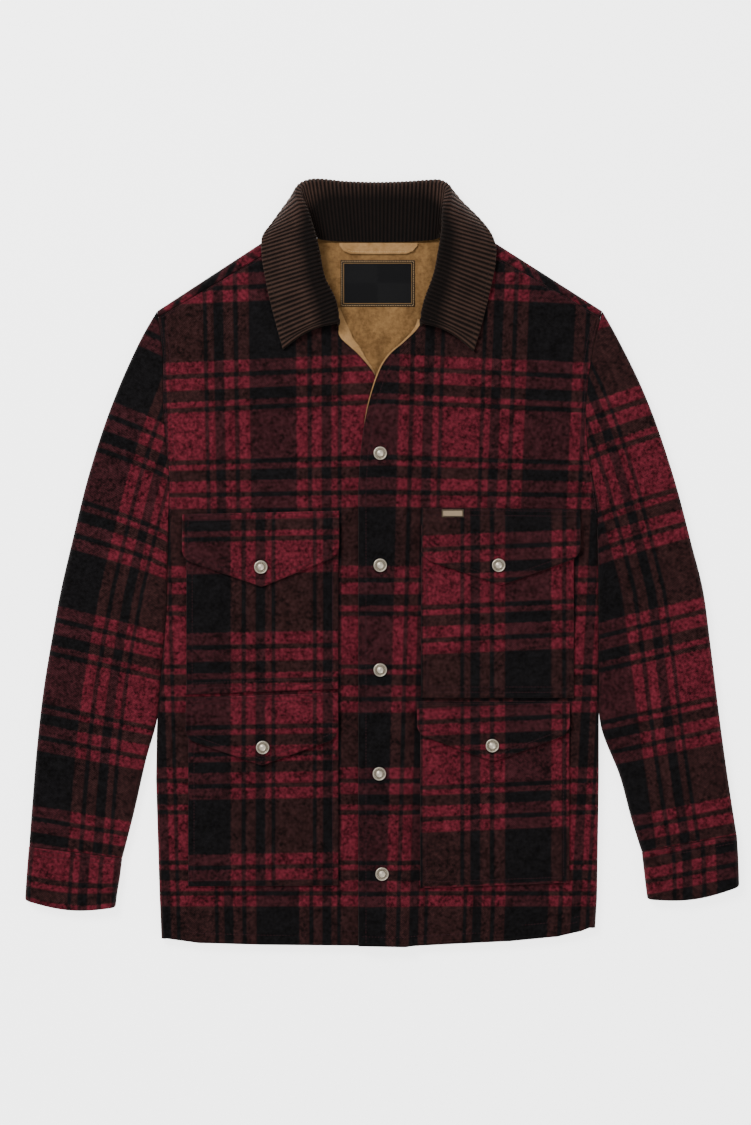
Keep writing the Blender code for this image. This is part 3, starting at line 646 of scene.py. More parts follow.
bodyFolds = [  # x, y, degrees, length, width, height
    (-196, 128, 38, 70, 24, 1.3), (-176, 208, -24, 80, 30, 0.9), (-96, 176, 80, 70, 32, 0.7),
    (188, 132, -40, 72, 24, 1.3), (172, 214, 22, 76, 30, 0.9), (84, 168, 98, 66, 30, 0.7),
    (-226, -90, 86, 120, 14, 0.8), (228, -60, 92, 130, 12, 0.7),
    (-214, 96, 52, 34, 9, 0.9), (-206, 152, 20, 30, 8, -0.8), (-150, 250, -34, 60, 11, -0.6),
    (-62, 206, 62, 44, 10, 0.6), (-30, 128, 74, 52, 9, 0.5), (-120, 112, 12, 70, 12, -0.5),
    (206, 92, -56, 36, 9, 0.9), (200, 160, -18, 32, 8, -0.8), (142, 254, 30, 62, 11, -0.6),
    (60, 214, -58, 46, 10, 0.6), (44, 122, -80, 50, 9, -0.5), (116, 108, -8, 72, 12, 0.5),
    (-228, -270, 84, 74, 8, 0.6), (-226, -376, 70, 30, 8, -0.5), (224, -250, 96, 80, 8, 0.6),
    (222, -350, 104, 36, 8, -0.5), (-130, -385, 4, 90, 10, 0.5), (110, -384, -5, 84, 9, 0.5),
    (-12, -280, 88, 60, 12, -0.4), (8, -60, 93, 70, 12, -0.4),
]


def bodyRelief(x, y):
    total = np.zeros(np.shape(x))
    for foldX, foldY, degrees, length, width, height in bodyFolds:
        turn = math.radians(degrees)
        dx = x - foldX
        dy = y - foldY
        run = (dx * math.cos(turn) + dy * math.sin(turn)) / length
        off = (dy * math.cos(turn) - dx * math.sin(turn)) / width
        total = total + height * np.exp(-run * run - off * off)
    return total


def frontHeight(side):
    def height(x, y):
        lift = 0.0
        if side == "left":
            lift = (body["wall"] + body["lap"]) * (1 - softStep(*body["lapLift"], x))
        return body["flat"] + bodyRelief(x, y) + lift
    return height


def toPixels(x, y):
    across, down = view["pixelOfOrigin"]
    return across + x / view["pixel"], down - y / view["pixel"]


bodyPlaid = {
    "rows": [(220, -0.5), (324.5, 0), (429, 0.5), (537, 1), (640.75, 1.5), (740.25, 2),
             (837.75, 2.5), (933, 3), (1030, 3.5)],
    "levels": (430, 899),
    "right": ((273.5, 277.75), (174, 161)), "left": ((547, 527), (172, 162)),
    "back": ((382, 382), (173, 162)),
    "chestDrop": 2.5, "dropEnds": (400, 560),
}


def bodyCut(side, x, y):
    px, py = toPixels(x, y)
    low, high = bodyPlaid["levels"]
    share = (py - low) / (high - low)
    (startX, endX), (startPeriod, endPeriod) = bodyPlaid[side]
    u = (px - startX - (endX - startX) * share) / (startPeriod + (endPeriod - startPeriod) * share)
    weight = 1 - softStep(*bodyPlaid["dropEnds"], py)
    drop = np.abs(px - view["pixelOfOrigin"][0]) * math.tan(math.radians(bodyPlaid["chestDrop"]))
    v = readTable(bodyPlaid["rows"], py - drop * weight)
    return np.stack(np.broadcast_arrays(u, v), axis=-1)


def shoulderFrame(side):
    neck, tip = (np.array(p, dtype=float) for p in shoulder[side])
    run = tip - neck
    outward = np.array([-run[1], run[0]]) / np.linalg.norm(run)
    if outward[1] < 0:
        outward = -outward
    return neck, run * body["shoulderReach"], outward


def shoulderAway(side, shares):  # outward from the shoulder, turned to the armhole at its end
    _, run, outward = shoulderFrame(side)
    slant = body["shoulderSlant"][side] * shares ** 2
    return outward - run / np.linalg.norm(run) * slant[:, None]


def frontPlan(side):
    outX = -1 if side == "right" else 1
    fine = np.linspace(0, 1, 801)
    heights = smoothRows(frontTable[side], fine)[:, 1:3]
    reached = runLength(heights) / math.sqrt(2)
    wanted = graded(reached[-1], body["step"])
    centreX, centreY, sideY = smoothRows(frontTable[side], np.interp(wanted, reached, fine)).T
    rolled = readTable(sideLine[side], sideY) - outX * body["roll"]
    sewn = readTable(armhole[side], sideY) - outX * body["seam"]
    under = body["underarm"]
    sideX = rolled + (sewn - rolled) * softStep(under + 0.3, under + 3.2, sideY)
    width = abs(sideX - centreX).mean()
    shares = graded(width, body["step"]) / width
    x = centreX[:, None] + (sideX - centreX)[:, None] * shares
    y = centreY[:, None] + (sideY - centreY)[:, None] * shares
    nearHem = 1 - softStep(0, 37, wanted)
    y = y + (readTable(hem, x) - y[0]) * nearHem[:, None]
    neck, run, outward = shoulderFrame(side)
    inward = np.interp(shares, [0, 1], body["shoulderIn"]) + 2 * body["seam"]
    top = neck + run * shares[:, None] - shoulderAway(side, shares) * inward[:, None]
    nearTop = softStep(wanted[-1] - 18, wanted[-1], wanted)[:, None]
    x = x + (top[:, 0] - x[-1]) * nearTop
    y = y + (top[:, 1] - y[-1]) * nearTop
    return np.stack([x, y], axis=-1), sideY


def makeFront(side):
    outX = -1 if side == "right" else 1
    plan, sideY = frontPlan(side)
    sewnRows = int((sideY <= body["underarm"] + 0.5).sum())
    armLine = plan[sewnRows + 2:, -1]
    centreLine = plan[:, 0]
    hemLine = plan[0]
    topLine = plan[-1]
    trims = [
        (resample(centreLine, 6), body["edge"], body["placketStitch"][side]),
        (resample(hemLine, 8), body["edge"], body["hemStitch"]),
        (resample(armLine, 6), body["seamEdge"], body["armholeStitch"]),
        (topLine[::6], body["seamEdge"], (2.2,)),
    ]
    height = frontHeight(side)
    surface = trimmedSurface(height, trims)
    z = surface(plan)
    outer = np.concatenate([plan, z[..., None]], axis=-1)
    base = height(plan[..., 0], plan[..., 1]) - body["wall"]
    inner = np.concatenate([plan, base[..., None]], axis=-1)
    panel = Cloth()
    ids = panel.put(outer, inner)
    panel.skin(ids, bodyCut(side, plan[..., 0], plan[..., 1]))
    under = body["underarm"]
    rollRows = int((sideY < under + 3.2).sum()) + 1
    fullness = 1.02 - softStep(under + 0.3, under + 3.2, sideY[:rollRows])[:, None]
    edge = outer[:rollRows, -1]
    top = base[:rollRows, -1] + body["wall"]
    turns = np.linspace(0, math.pi, 11)[1:]
    radius = top[:, None] / 2
    x = edge[:, :1] + outX * body["roll"] * fullness * np.sin(turns)
    zOuter = radius + radius * np.cos(turns)
    xInner = edge[:, :1] + outX * (body["roll"] - body["wall"]) * fullness * np.sin(turns)
    zInner = radius + (radius - body["wall"]) * np.cos(turns)
    tuck = np.linspace(0, body["turnUnder"], 9)[1:]
    x = np.concatenate([x, edge[:, :1] - outX * fullness * tuck], axis=1)
    xInner = np.concatenate([xInner, edge[:, :1] - outX * fullness * tuck], axis=1)
    zOuter = np.concatenate([zOuter, np.zeros((rollRows, len(tuck)))], axis=1)
    zInner = np.concatenate([zInner, np.full((rollRows, len(tuck)), body["wall"])], axis=1)
    y = np.repeat(edge[:, 1:2], x.shape[1], axis=1)
    rollIds = panel.put(np.stack([x, y, zOuter], axis=-1), np.stack([xInner, y, zInner], axis=-1))
    rollIds = np.concatenate([ids[:rollRows, -1:], rollIds], axis=1)
    spread = np.concatenate([[0], body["roll"] * turns, body["roll"] * math.pi + tuck])
    panel.skin(rollIds, bodyCut(side, edge[:, :1] + outX * spread, edge[:, 1:2] + 0 * spread))
    piece = panel.finish("jacket_front_" + side, "wool", "lining")
    place(piece, "front_" + side, "wool", (330, 830), [makeFacing(side)])
    toward = plan[plan.shape[0] // 2, plan.shape[1] // 2]
    paths = []
    for k, (line, radius, rows) in enumerate(trims):
        stops = [(trims[j][0], 2.5) for j in range(4) if j != k]
        for at in rows:
            paths += stitchLine(surface, line, at, toward, stops)
    sew("stitches_front_" + side, paths, "wineThread", "wool")
    print("front", side, "made:", len(piece.data.polygons), "faces")


def makeBack():
    topLine = [tuple(p) + (0,) for p in resample(np.array(backNeck, dtype=float), body["backStep"])]
    shares = np.linspace(0, 1, 24)
    for side in ("right", "left"):
        neck, run, outward = shoulderFrame(side)
        ends = neck + run * shares[:, None] - shoulderAway(side, shares) * body["roll"]
        topLine += [tuple(p) + (1 if side == "right" else 2,) for p in ends]
    topLine = np.array(sorted(topLine))
    columns = len(topLine)
    across = (topLine[1:-1, 0] - topLine[1, 0]) / (topLine[-2, 0] - topLine[1, 0])
    level = body["underarm"] + 1.2
    lower = np.linspace(sideLine["right"][0][0], level, 64)
    tuck = body["roll"] + body["turnUnder"] + 2 * body["seam"]
    left = readTable(sideLine["right"], lower) + tuck
    right = readTable(sideLine["left"], lower) - tuck
    x = left[:, None] + (right - left)[:, None] * across
    y = np.repeat(lower[:, None], columns - 2, axis=1)
    nearHem = 1 - softStep(0, 40, lower - lower[0])
    y = y + (readTable(hem, x) + body["hemShort"] - y) * nearHem[:, None]
    panel = Cloth()

    def flatPoints(x, y, z):
        return np.stack([x, y, np.full(np.shape(x), z, dtype=float)], axis=-1)

    low = panel.put(flatPoints(x, y, 0), flatPoints(x, y, body["wall"]))
    panel.skin(low, bodyCut("back", x, y))
    rise = np.linspace(0, 1, 48)
    rightY = level + (topLine[0, 1] - level) * rise
    leftY = level + (topLine[-1, 1] - level) * rise
    edgeLeft = readTable(armhole["right"], rightY) + 2 * body["seam"]
    edgeRight = readTable(armhole["left"], leftY) - 2 * body["seam"]
    edgeLeft[-1], edgeRight[-1] = topLine[0, 0], topLine[-1, 0]
    baseX, baseY = x[-1], y[-1]
    midX = baseX + (topLine[1:-1, 0] - baseX) * rise[:, None]
    midY = baseY + (topLine[1:-1, 1] - baseY) * rise[:, None]
    x = np.concatenate([edgeLeft[:, None], midX, edgeRight[:, None]], axis=1)
    y = np.concatenate([rightY[:, None], midY, leftY[:, None]], axis=1)
    high = panel.put(flatPoints(x[1:], y[1:], 0), flatPoints(x[1:], y[1:], body["wall"]))
    wings = panel.put(flatPoints(x[:1, [0, -1]], y[:1, [0, -1]], 0),
                      flatPoints(x[:1, [0, -1]], y[:1, [0, -1]], body["wall"]))
    first = np.concatenate([wings[:, :1], low[-1:], wings[:, 1:]], axis=1)
    ids = np.concatenate([first, high])
    panel.skin(ids, bodyCut("back", x, y))
    turns = np.linspace(0, math.pi, 11)[1:]
    for mark, side in ((1, "right"), (2, "left")):
        neck, run, outward = shoulderFrame(side)
        pick = np.where(topLine[:, 2] == mark)[0]
        base = topLine[pick, :2]
        # shares run from the neck to the sleeve
        along = np.interp(base @ run, sorted([neck @ run, (neck + run) @ run]), [0, 1])
        turned = shoulderAway(side, along)
        radius = body["roll"]
        thin = radius - body["wall"]
        outer = []
        inner = []
        spread = [np.zeros(len(base))]
        for turn in turns:
            out = base + turned * radius * math.sin(turn)
            into = base + turned * thin * math.sin(turn)
            outer.append(flatPoints(out[:, 0], out[:, 1], radius - radius * math.cos(turn)))
            inner.append(flatPoints(into[:, 0], into[:, 1], radius - thin * math.cos(turn)))
            spread.append(np.full(len(base), radius * turn))
        reachIn = np.interp(along, [0, 1], body["shoulderIn"]) - radius
        for share in (0.35, 0.7, 0.9, 1.0):
            end = base - turned * (reachIn * share)[:, None]
            edge = roundOff((1 - share) * reachIn, body["seamEdge"])
            z = body["flat"] - edge
            outer.append(np.stack([end[:, 0], end[:, 1], z], axis=-1))
            inner.append(flatPoints(end[:, 0], end[:, 1], body["flat"] - body["wall"]))
            spread.append(radius * math.pi + reachIn * share)
        wrapIds = panel.put(np.stack(outer), np.stack(inner))
        wrapIds = np.concatenate([ids[-1:, pick], wrapIds])
        away = np.stack(spread)[..., None] * outward + base
        panel.skin(wrapIds, bodyCut("back", away[..., 0], away[..., 1]))
    piece = panel.finish("jacket_back", "wool", "lining")
    place(piece, "back", "wool", (500, 860))
    hemLine = np.stack([panelX for panelX in (np.linspace(-200, 196, 90),)], axis=1)
    paths = []
    for at in body["hemStitch"]:
        lineX = hemLine[:, 0]
        lineY = readTable(hem, lineX) + body["hemShort"] + at
        paths.append(np.stack([lineX, lineY, np.full(len(lineX), 0.35)], axis=1))
    sew("stitches_back", paths, "wineThread", "wool")
    print("back made:", len(piece.data.polygons), "faces")


# Sleeves and cuffs
sleeves = {
    "right": [  # outer x, outer y, inner x, inner y, thickness
        (-248.4, 277, -236.2, 46, 12.0), (-266, 246, -235.4, 34, 12.4),
        (-288, 198, -235.8, 10, 13.0), (-307, 148, -236.5, -12, 13.6),
        (-325, 90, -236.4, -35, 13.8), (-341, 25, -237.4, -62, 13.8),
        (-354, -31, -240.5, -92, 13.8), (-364, -85, -243.8, -128, 13.8),
        (-373, -140, -247.5, -172, 13.6), (-380, -200, -260, -218, 13.2),
        (-385, -260, -273, -275, 12.8), (-389, -312.6, -286, -325.6, 12.4)],
    "left": [
        (243.4, 277, 239.2, 46, 12.0), (262, 243, 237.2, 34, 12.4),
        (285, 196, 237.4, 12, 13.0), (304, 148, 238, -8, 13.6),
        (324, 86, 238, -32, 13.8), (341, 21, 238, -58, 13.8),
        (354, -31, 238.1, -86, 13.8), (362, -90, 238.3, -124, 13.8),
        (370, -155, 241, -180, 13.6), (378, -215, 261.5, -234, 13.2),
        (385, -262, 274, -280, 12.8), (391, -299.6, 286, -318.6, 12.4)],
}
cuffs = {
    "right": [(-389.2, -312.7, -286.1, -325.7, 13.4), (-391, -335, -288.5, -346, 13.8),
              (-392.5, -357, -291.5, -364, 13.8), (-393.4, -372, -293.5, -380, 13.4)],
    "left": [(391.2, -299.7, 286.1, -318.7, 13.4), (392.6, -322, 288.4, -339, 13.8),
             (393.4, -342, 290.6, -358, 13.8), (393.8, -357, 292.4, -371, 13.4)],
}
sleeveFolds = {  # place down the sleeve, slant, width, height, all the way across
    "right": [(0.12, 0.05, 0.05, 0.9), (0.3, -0.07, 0.04, 1.2), (0.47, 0.06, 0.035, 1.4),
              (0.6, -0.05, 0.03, 1.0), (0.82, 0.05, 0.04, 0.9)],
    "left": [(0.15, -0.06, 0.05, 1.0), (0.33, 0.06, 0.04, 1.1), (0.5, -0.06, 0.035, 1.4),
             (0.64, 0.05, 0.03, 1.0), (0.85, -0.04, 0.04, 0.8)],
}
sleeveCreases = {  # place, share across, slant, half length, width, height
    "right": [(0.20, 0.80, 0.30, 0.20, 0.016, 1.2), (0.27, 0.86, 0.22, 0.15, 0.012, -1.1),
              (0.36, 0.74, 0.16, 0.24, 0.014, 1.0), (0.44, 0.22, -0.20, 0.20, 0.013, 0.9),
              (0.52, 0.70, 0.10, 0.26, 0.012, -1.1), (0.56, 0.34, -0.12, 0.22, 0.012, 1.1),
              (0.67, 0.76, 0.14, 0.20, 0.014, 0.9), (0.74, 0.30, -0.10, 0.24, 0.012, -0.9),
              (0.90, 0.62, 0.06, 0.28, 0.010, 0.7), (0.955, 0.35, -0.03, 0.22, 0.008, -0.7)],
    "left": [(0.19, 0.82, 0.28, 0.18, 0.016, 1.2), (0.29, 0.84, 0.20, 0.16, 0.012, -1.0),
             (0.38, 0.72, 0.14, 0.24, 0.014, 1.1), (0.46, 0.26, -0.18, 0.20, 0.013, 0.8),
             (0.55, 0.68, 0.12, 0.24, 0.012, -1.1), (0.59, 0.30, -0.14, 0.22, 0.012, 1.0),
             (0.70, 0.78, 0.12, 0.18, 0.014, 1.0), (0.78, 0.34, -0.08, 0.26, 0.012, -0.8),
             (0.91, 0.55, 0.05, 0.28, 0.010, 0.7), (0.96, 0.40, -0.04, 0.20, 0.008, -0.6)],
}
sleevePlaid = {
    "right": {"rows": [(272, -0.5), (373.5, 0), (475.5, 0.5), (577, 1), (679.5, 1.5), (777.5, 2),
                       (875, 2.5)],
              "slopes": [(0, 20), (0.5, 13), (1, 9)], "darkAt": 17.0},
    "left": {"rows": [(248, -0.5), (355, 0), (462, 0.5), (567, 1), (672, 1.5), (769, 2), (866, 2.5)],
             "slopes": [(0, 17), (0.5, 13), (1, 10.5)], "darkAt": 105.5},
    "period": 172.0,
}
cuffPlaid = {
    "period": 172.0, "length": 195.0,
    "right": {"redAt": 24.5, "atEdge": 0.749},
    "left": {"darkAt": 0.0, "darkRow": 903.8, "slope": 11.0},
}
tube = {"flats": 36, "turns": 10, "step": 3.6, "cuffDip": 7.0, "end": 1.8, "cuffEnd": 2.6, "sideShare": 0.15}


def tubeRing():
    runs, ups, acrosses = [], [], []

    def put(run, up, across):
        runs.append(run)
        ups.append(up)
        acrosses.append(across)

    half = tube["turns"] // 2
    # from the inner edge along the underside, round the outer edge and back along the top
    for k in range(half + 1):
        turn = math.pi / 2 * k / half
        put(1, -math.sin(turn), math.cos(turn))
    for k in range(1, tube["flats"]):
        put(1 - k / tube["flats"], -1, 0)
    for k in range(tube["turns"] + 1):
        turn = math.pi * k / tube["turns"]
        put(0, -math.cos(turn), -math.sin(turn))
    for k in range(1, tube["flats"]):
        put(k / tube["flats"], 1, 0)
    for k in range(half):
        turn = math.pi / 2 * k / half
        put(1, math.cos(turn), math.sin(turn))
    return (np.array(values, dtype=float) for values in (runs, ups, acrosses))


def tubePoints(rows, shift, bulge, ends, sides):
    run, up, across = tubeRing()
    a = rows[:, None, 0:2]
    b = rows[:, None, 2:4]
    width = np.linalg.norm(b - a, axis=-1)
    radius = rows[:, None, 4] / 2
    shells = []
    for isOuter in (True, False):
        size = radius - ends[:, None] if isOuter else radius - body["wall"]
        wide = radius - sides[:, None] if isOuter else size
        reach = radius + run * (width - 2 * radius) + across * wide
        share = reach / width
        p = a + (b - a) * share[..., None]
        p = p + shift(share)
        z = radius + up * size
        z = z + bulge(share) * np.clip(up, 0, 1) * (1.0 if isOuter else 0.4)
        shells.append(np.concatenate([p, z[..., None]], axis=-1))
    return shells[0], shells[1], up


def tubePiece(name, outer, inner, cut):
    panel = Cloth()
    ids = panel.put(outer, inner)
    ids = np.concatenate([ids, ids[:, :1]], axis=1)
    panel.skin(ids, cut)
    return panel.finish(name, "wool", "lining")


def outerEdgePixels(side):
    rows = [(r[1], r[0]) for r in sleeves[side] + cuffs[side]]
    pairs = sorted((toPixels(x, y)[1], toPixels(x, y)[0]) for y, x in rows)
    return pairs


def edgeDistance(side, x, y):
    px, py = toPixels(x, y)
    return np.abs(px - readTable(outerEdgePixels(side), py)), py


def closeCut(cut, lastU):
    return np.concatenate([cut, lastU], axis=1)


def makeSleeve(side):
    outX = -1 if side == "right" else 1
    fine = np.linspace(0, 1, 801)
    table = smoothRows(sleeves[side], fine)
    reached = runLength((table[:, 0:2] + table[:, 2:4]) / 2)
    wanted = graded(reached[-1], tube["step"])
    rows = smoothRows(sleeves[side], np.interp(wanted, reached, fine))
    down = (wanted / wanted[-1])[:, None]
    place01 = np.interp(wanted, reached, fine)[:, None]
    head = rows[0]
    follow = np.clip(1 - place01 / 0.3, 0, 1) ** 2

    def shift(share):
        y = head[1] + (head[3] - head[1]) * share
        line = head[0] + (head[2] - head[0]) * share
        gap = (readTable(armhole[side], y) + outX * body["seam"] - line) * follow
        return np.stack([gap, np.zeros(gap.shape)], axis=-1)

    def bulge(share):
        total = np.zeros(share.shape)
        for at, slant, width, height in sleeveFolds[side]:
            off = (place01 - at - slant * (share - 0.5)) / width
            total += height * np.exp(-off * off) * np.sin(math.pi * np.clip(share, 0, 1))
        for at, middle, slant, half, width, height in sleeveCreases[side]:
            off = (place01 - at - slant * (share - middle)) / width
            total += height * np.exp(-off * off - ((share - middle) / half) ** 2)
        return total * softStep(0, 0.08, place01) * softStep(1, 0.94, place01)

    ends = roundOff(np.minimum(wanted, wanted[-1] - wanted), tube["end"])
    outer, inner, up = tubePoints(rows, shift, bulge, ends, ends * tube["sideShare"])
    chart = sleevePlaid[side]
    distance, py = edgeDistance(side, outer[..., 0], outer[..., 1])
    sign = np.where(np.arange(outer.shape[1]) < outer.shape[1] // 2 + 1, -1.0, 1.0)
    distance = distance * sign
    slope = np.tan(np.radians(readTable(chart["slopes"], down)))
    u = (distance - chart["darkAt"]) / sleevePlaid["period"]
    v = readTable(chart["rows"], py - distance * slope)
    cut = np.stack([u, v], axis=-1)
    cut = np.concatenate([cut, cut[:, -1:] + (cut[:, -1:] - cut[:, -2:-1])], axis=1)
    piece = tubePiece("jacket_sleeve_" + side, outer, inner, cut)
    place(piece, "sleeve_" + side, "wool", (500, 630))
    print("sleeve", side, "made:", len(piece.data.polygons), "faces")


def makeCuff(side):
    fine = np.linspace(0, 1, 201)
    table = smoothRows(cuffs[side], fine)
    reached = runLength((table[:, 0:2] + table[:, 2:4]) / 2)
    wanted = graded(reached[-1], tube["step"])
    places = np.interp(wanted, reached, fine)
    rows = smoothRows(cuffs[side], places)

    def shift(share):
        dip = -tube["cuffDip"] * places[:, None] * np.sin(math.pi * np.clip(share, 0, 1))
        return np.stack([np.zeros(dip.shape), dip], axis=-1)

    def bulge(share):
        return 0.5 * np.sin(math.pi * np.clip(share, 0, 1)) * np.sin(math.pi * places[:, None])

    stitched = sum(np.exp(-((wanted - at) / sewing["spread"]) ** 2) for at in (2.4, 7.4))
    joined = roundOff(wanted, tube["end"])
    turned = roundOff(wanted[-1] - wanted, tube["cuffEnd"])
    groove = stitched * sewing["depth"] * 0.8
    ends = np.minimum(joined + turned + groove, 4.0)
    sides = joined * tube["sideShare"] + turned
    outer, inner, up = tubePoints(rows, shift, bulge, ends, sides)
    distance, py = edgeDistance(side, outer[..., 0], outer[..., 1])
    sign = np.where(np.arange(outer.shape[1]) < outer.shape[1] // 2 + 1, -1.0, 1.0)
    distance = distance * sign
    chart = cuffPlaid[side]
    if side == "right":
        u = (distance - chart["redAt"]) / cuffPlaid["period"] + 0.5
        fromEdge = (wanted[-1] - wanted)[:, None] / view["pixel"]
        v = chart["atEdge"] - fromEdge / cuffPlaid["length"] + 0 * u
    else:
        u = (distance - chart["darkAt"]) / cuffPlaid["period"]
        edgeY = py - distance * math.tan(math.radians(chart["slope"]))
        v = (edgeY - chart["darkRow"]) / cuffPlaid["length"]
    cut = np.stack([u, v], axis=-1)
    cut = np.concatenate([cut, cut[:, -1:] + (cut[:, -1:] - cut[:, -2:-1])], axis=1)
    piece = tubePiece("jacket_cuff_" + side, outer, inner, cut)
    place(piece, "cuff_" + side, "wool", (240, 90))
    paths = []
    for at in (2.4, 7.4):
        ring = np.array([[np.interp(at, wanted, outer[:, c, i]) for i in range(3)]
                         for c in range(outer.shape[1])])
        paths.append(np.concatenate([ring, ring[:1]]))
    sew("stitches_cuff_" + side, paths, "wineThread", "wool")
    print("cuff", side, "made:", len(piece.data.polygons), "faces")


# Pockets and flaps
pockets = {  # x at inner and outer side, bottom y at inner and outer side
    "upper_right": (-48, -215, -139, -145), "lower_right": (-48, -213, -355, -356),
    "upper_left": (43, 211, -149, -149), "lower_left": (42, 206, -358, -352),
}
flaps = {  # x left and right, top y left and right, side y left and right, point x, y
    "upper_right": (-219.5, -47, 53, 57, 12, 17, -132, -27),
    "lower_right": (-215.5, -48, -149, -143, -186, -184, -132, -223),
    "upper_left": (44, 218, 60, 58, 12, 15, 131, -25),
    "lower_left": (38.5, 206.5, -153, -153, -180, -179, 122, -219),
}
pocketPlaid = {  # dark stripe's middle x, period, slope, then the weft's place, its y and period
    "pocket_upper_right": (208, 172.6, 1.0, 0.0, 603.5, 211),
    "pocket_lower_right": (208, 172.6, 1.0, 0.0, 826.8, 196),
    "pocket_upper_left": (528, 173, 2.4, 0.0, 678.5, 204),
    "pocket_lower_left": (528, 173, 2.4, 0.0, 855, 194),
    "flap_upper_right": (208, 172.6, 1.0, 0.5, 566.5, 207),
    "flap_lower_right": (208, 172.6, 1.0, 0.5, 701, 200),
    "flap_upper_left": (528, 173, 2.4, 0.0, 502.5, 207),
    "flap_lower_left": (528, 173, 2.4, 0.0, 676, 200),
}
patch = {
    "cloth": 3.0, "topBelow": 18.5, "climb": (10.0, 16.0), "cornerShares": (0, 0.015, 0.04, 0.08),
    "cornerDrops": (0, 0.16, 0.27, 0.34), "step": 2.7, "edge": 1.6, "stitch": 6.4, "puff": 1.0,
    "puffReach": 26.0, "curl": 0.9,
}


def patchCut(name, x, y):
    darkX, period, slope, startV, startY, length = pocketPlaid[name]
    px, py = toPixels(x, y)
    u = (px - darkX) / period
    v = startV + (py + (px - darkX) * math.tan(math.radians(slope)) - startY) / length
    return np.stack(np.broadcast_arrays(u, v), axis=-1)


def flapTop(key, x):
    left, right, topLeft, topRight = flaps[key][:4]
    return topLeft + (topRight - topLeft) * (x - left) / (right - left)


def flapEdge(key, across):
    left, right, _, _, sideLeft, sideRight, pointX, pointY = flaps[key]
    across = np.asarray(across, dtype=float)
    fromSide = np.minimum(across, 1 - across)
    corner = np.where(across < 0.5, sideLeft, sideRight)
    startX = np.where(across < 0.5, left, right)
    drop = corner - pointY
    curve = np.interp(fromSide, patch["cornerShares"], patch["cornerDrops"])
    low = patch["cornerShares"][-1]
    lowDrop = patch["cornerDrops"][-1]
    half = np.abs(pointX - startX)
    x = left + (right - left) * across
    cornerShare = low * (right - left) / half
    t = np.clip((np.abs(x - startX) / half - cornerShare) / (1 - cornerShare), 0, 1)
    slant = lowDrop + (1 - lowDrop) * t
    return corner - drop * np.where(fromSide < low, curve, slant)


def pocketHeight(key):
    base = frontHeight(key.split("_")[1])
    left, right = flaps[key][:2]

    def height(x, y):
        return base(x, y) + body["lap"] + patch["cloth"]
    return height


def makePocket(key):
    innerX, outerX, innerY, outerY = pockets[key]
    shares = graded(abs(outerX - innerX), patch["step"]) / abs(outerX - innerX)
    x = innerX + (outerX - innerX) * shares
    top = flapTop(key, x) - patch["topBelow"]
    bottom = innerY + (outerY - innerY) * shares
    tall = abs(top - bottom).mean()
    rise = graded(tall, patch["step"]) / tall
    y = bottom + (top - bottom) * rise[:, None]
    plan = np.stack([np.broadcast_to(x, y.shape), y], axis=-1)
    sides = [resample(plan[:, 0], 8), resample(plan[:, -1], 8), resample(plan[0], 8)]
    height = pocketHeight(key)
    left, right = flaps[key][:2]

    def puffed(x, y):
        points = np.stack(np.broadcast_arrays(x, y), axis=-1)
        off = np.minimum.reduce([distanceTo(points, side) for side in sides])
        flapLine = flapEdge(key, np.clip((x - left) / (right - left), 0, 1))
        free = 1 - softStep(flapLine - 26, flapLine - 5, y)
        inside = 1 - np.exp(-(np.maximum(off - patch["stitch"], 0) / patch["puffReach"]) ** 2)
        return height(x, y) + patch["puff"] * inside * free

    trims = [(side, patch["edge"], (patch["stitch"],)) for side in sides]
    if key.startswith("upper"):
        trims[2] = (sides[2], patch["edge"], (patch["stitch"], patch["stitch"] * 1.9))
    trims.append((resample(plan[-1], 8), patch["edge"], ()))
    surface = trimmedSurface(puffed, trims)
    outer = np.concatenate([plan, surface(plan)[..., None]], axis=-1)
    under = height(plan[..., 0], plan[..., 1]) - patch["cloth"]
    inner = np.concatenate([plan, under[..., None]], axis=-1)
    panel = Cloth()
    ids = panel.put(outer, inner)
    panel.skin(ids, patchCut("pocket_" + key, plan[..., 0], plan[..., 1]))
    piece = panel.finish("jacket_pocket_" + key, "wool")
    place(piece, "pocket_" + key, "wool", (abs(outerX - innerX) + 24, tall + 34))
    middle = plan[plan.shape[0] // 2, plan.shape[1] // 2]
    paths = []
    for k, (line, radius, rows) in enumerate(trims[:3]):
        stops = [(sides[j], patch["stitch"] - 0.3) for j in range(3) if j != k]
        for at in rows:
            paths += stitchLine(surface, line, at, middle, stops)
    sew("stitches_pocket_" + key, paths, "wineThread", "wool")


snapPlaces = {
    "front_1": (-2, 120), "front_2": (-2, -3), "front_3": (-2, -118), "front_4": (-3, -232),
    "front_5": (0, -342), "flap_upper_right": (-133, -5), "flap_lower_right": (-131, -203),
    "flap_upper_left": (128, -3), "flap_lower_left": (121, -201),
}


def flapHeight(key):
    base = frontHeight(key.split("_")[1])

    def height(x, y):
        climb = (patch["cloth"] + body["lap"]) * softStep(*patch["climb"], flapTop(key, x) - y)
        return base(x, y) + body["lap"] + patch["cloth"] + climb
    return height


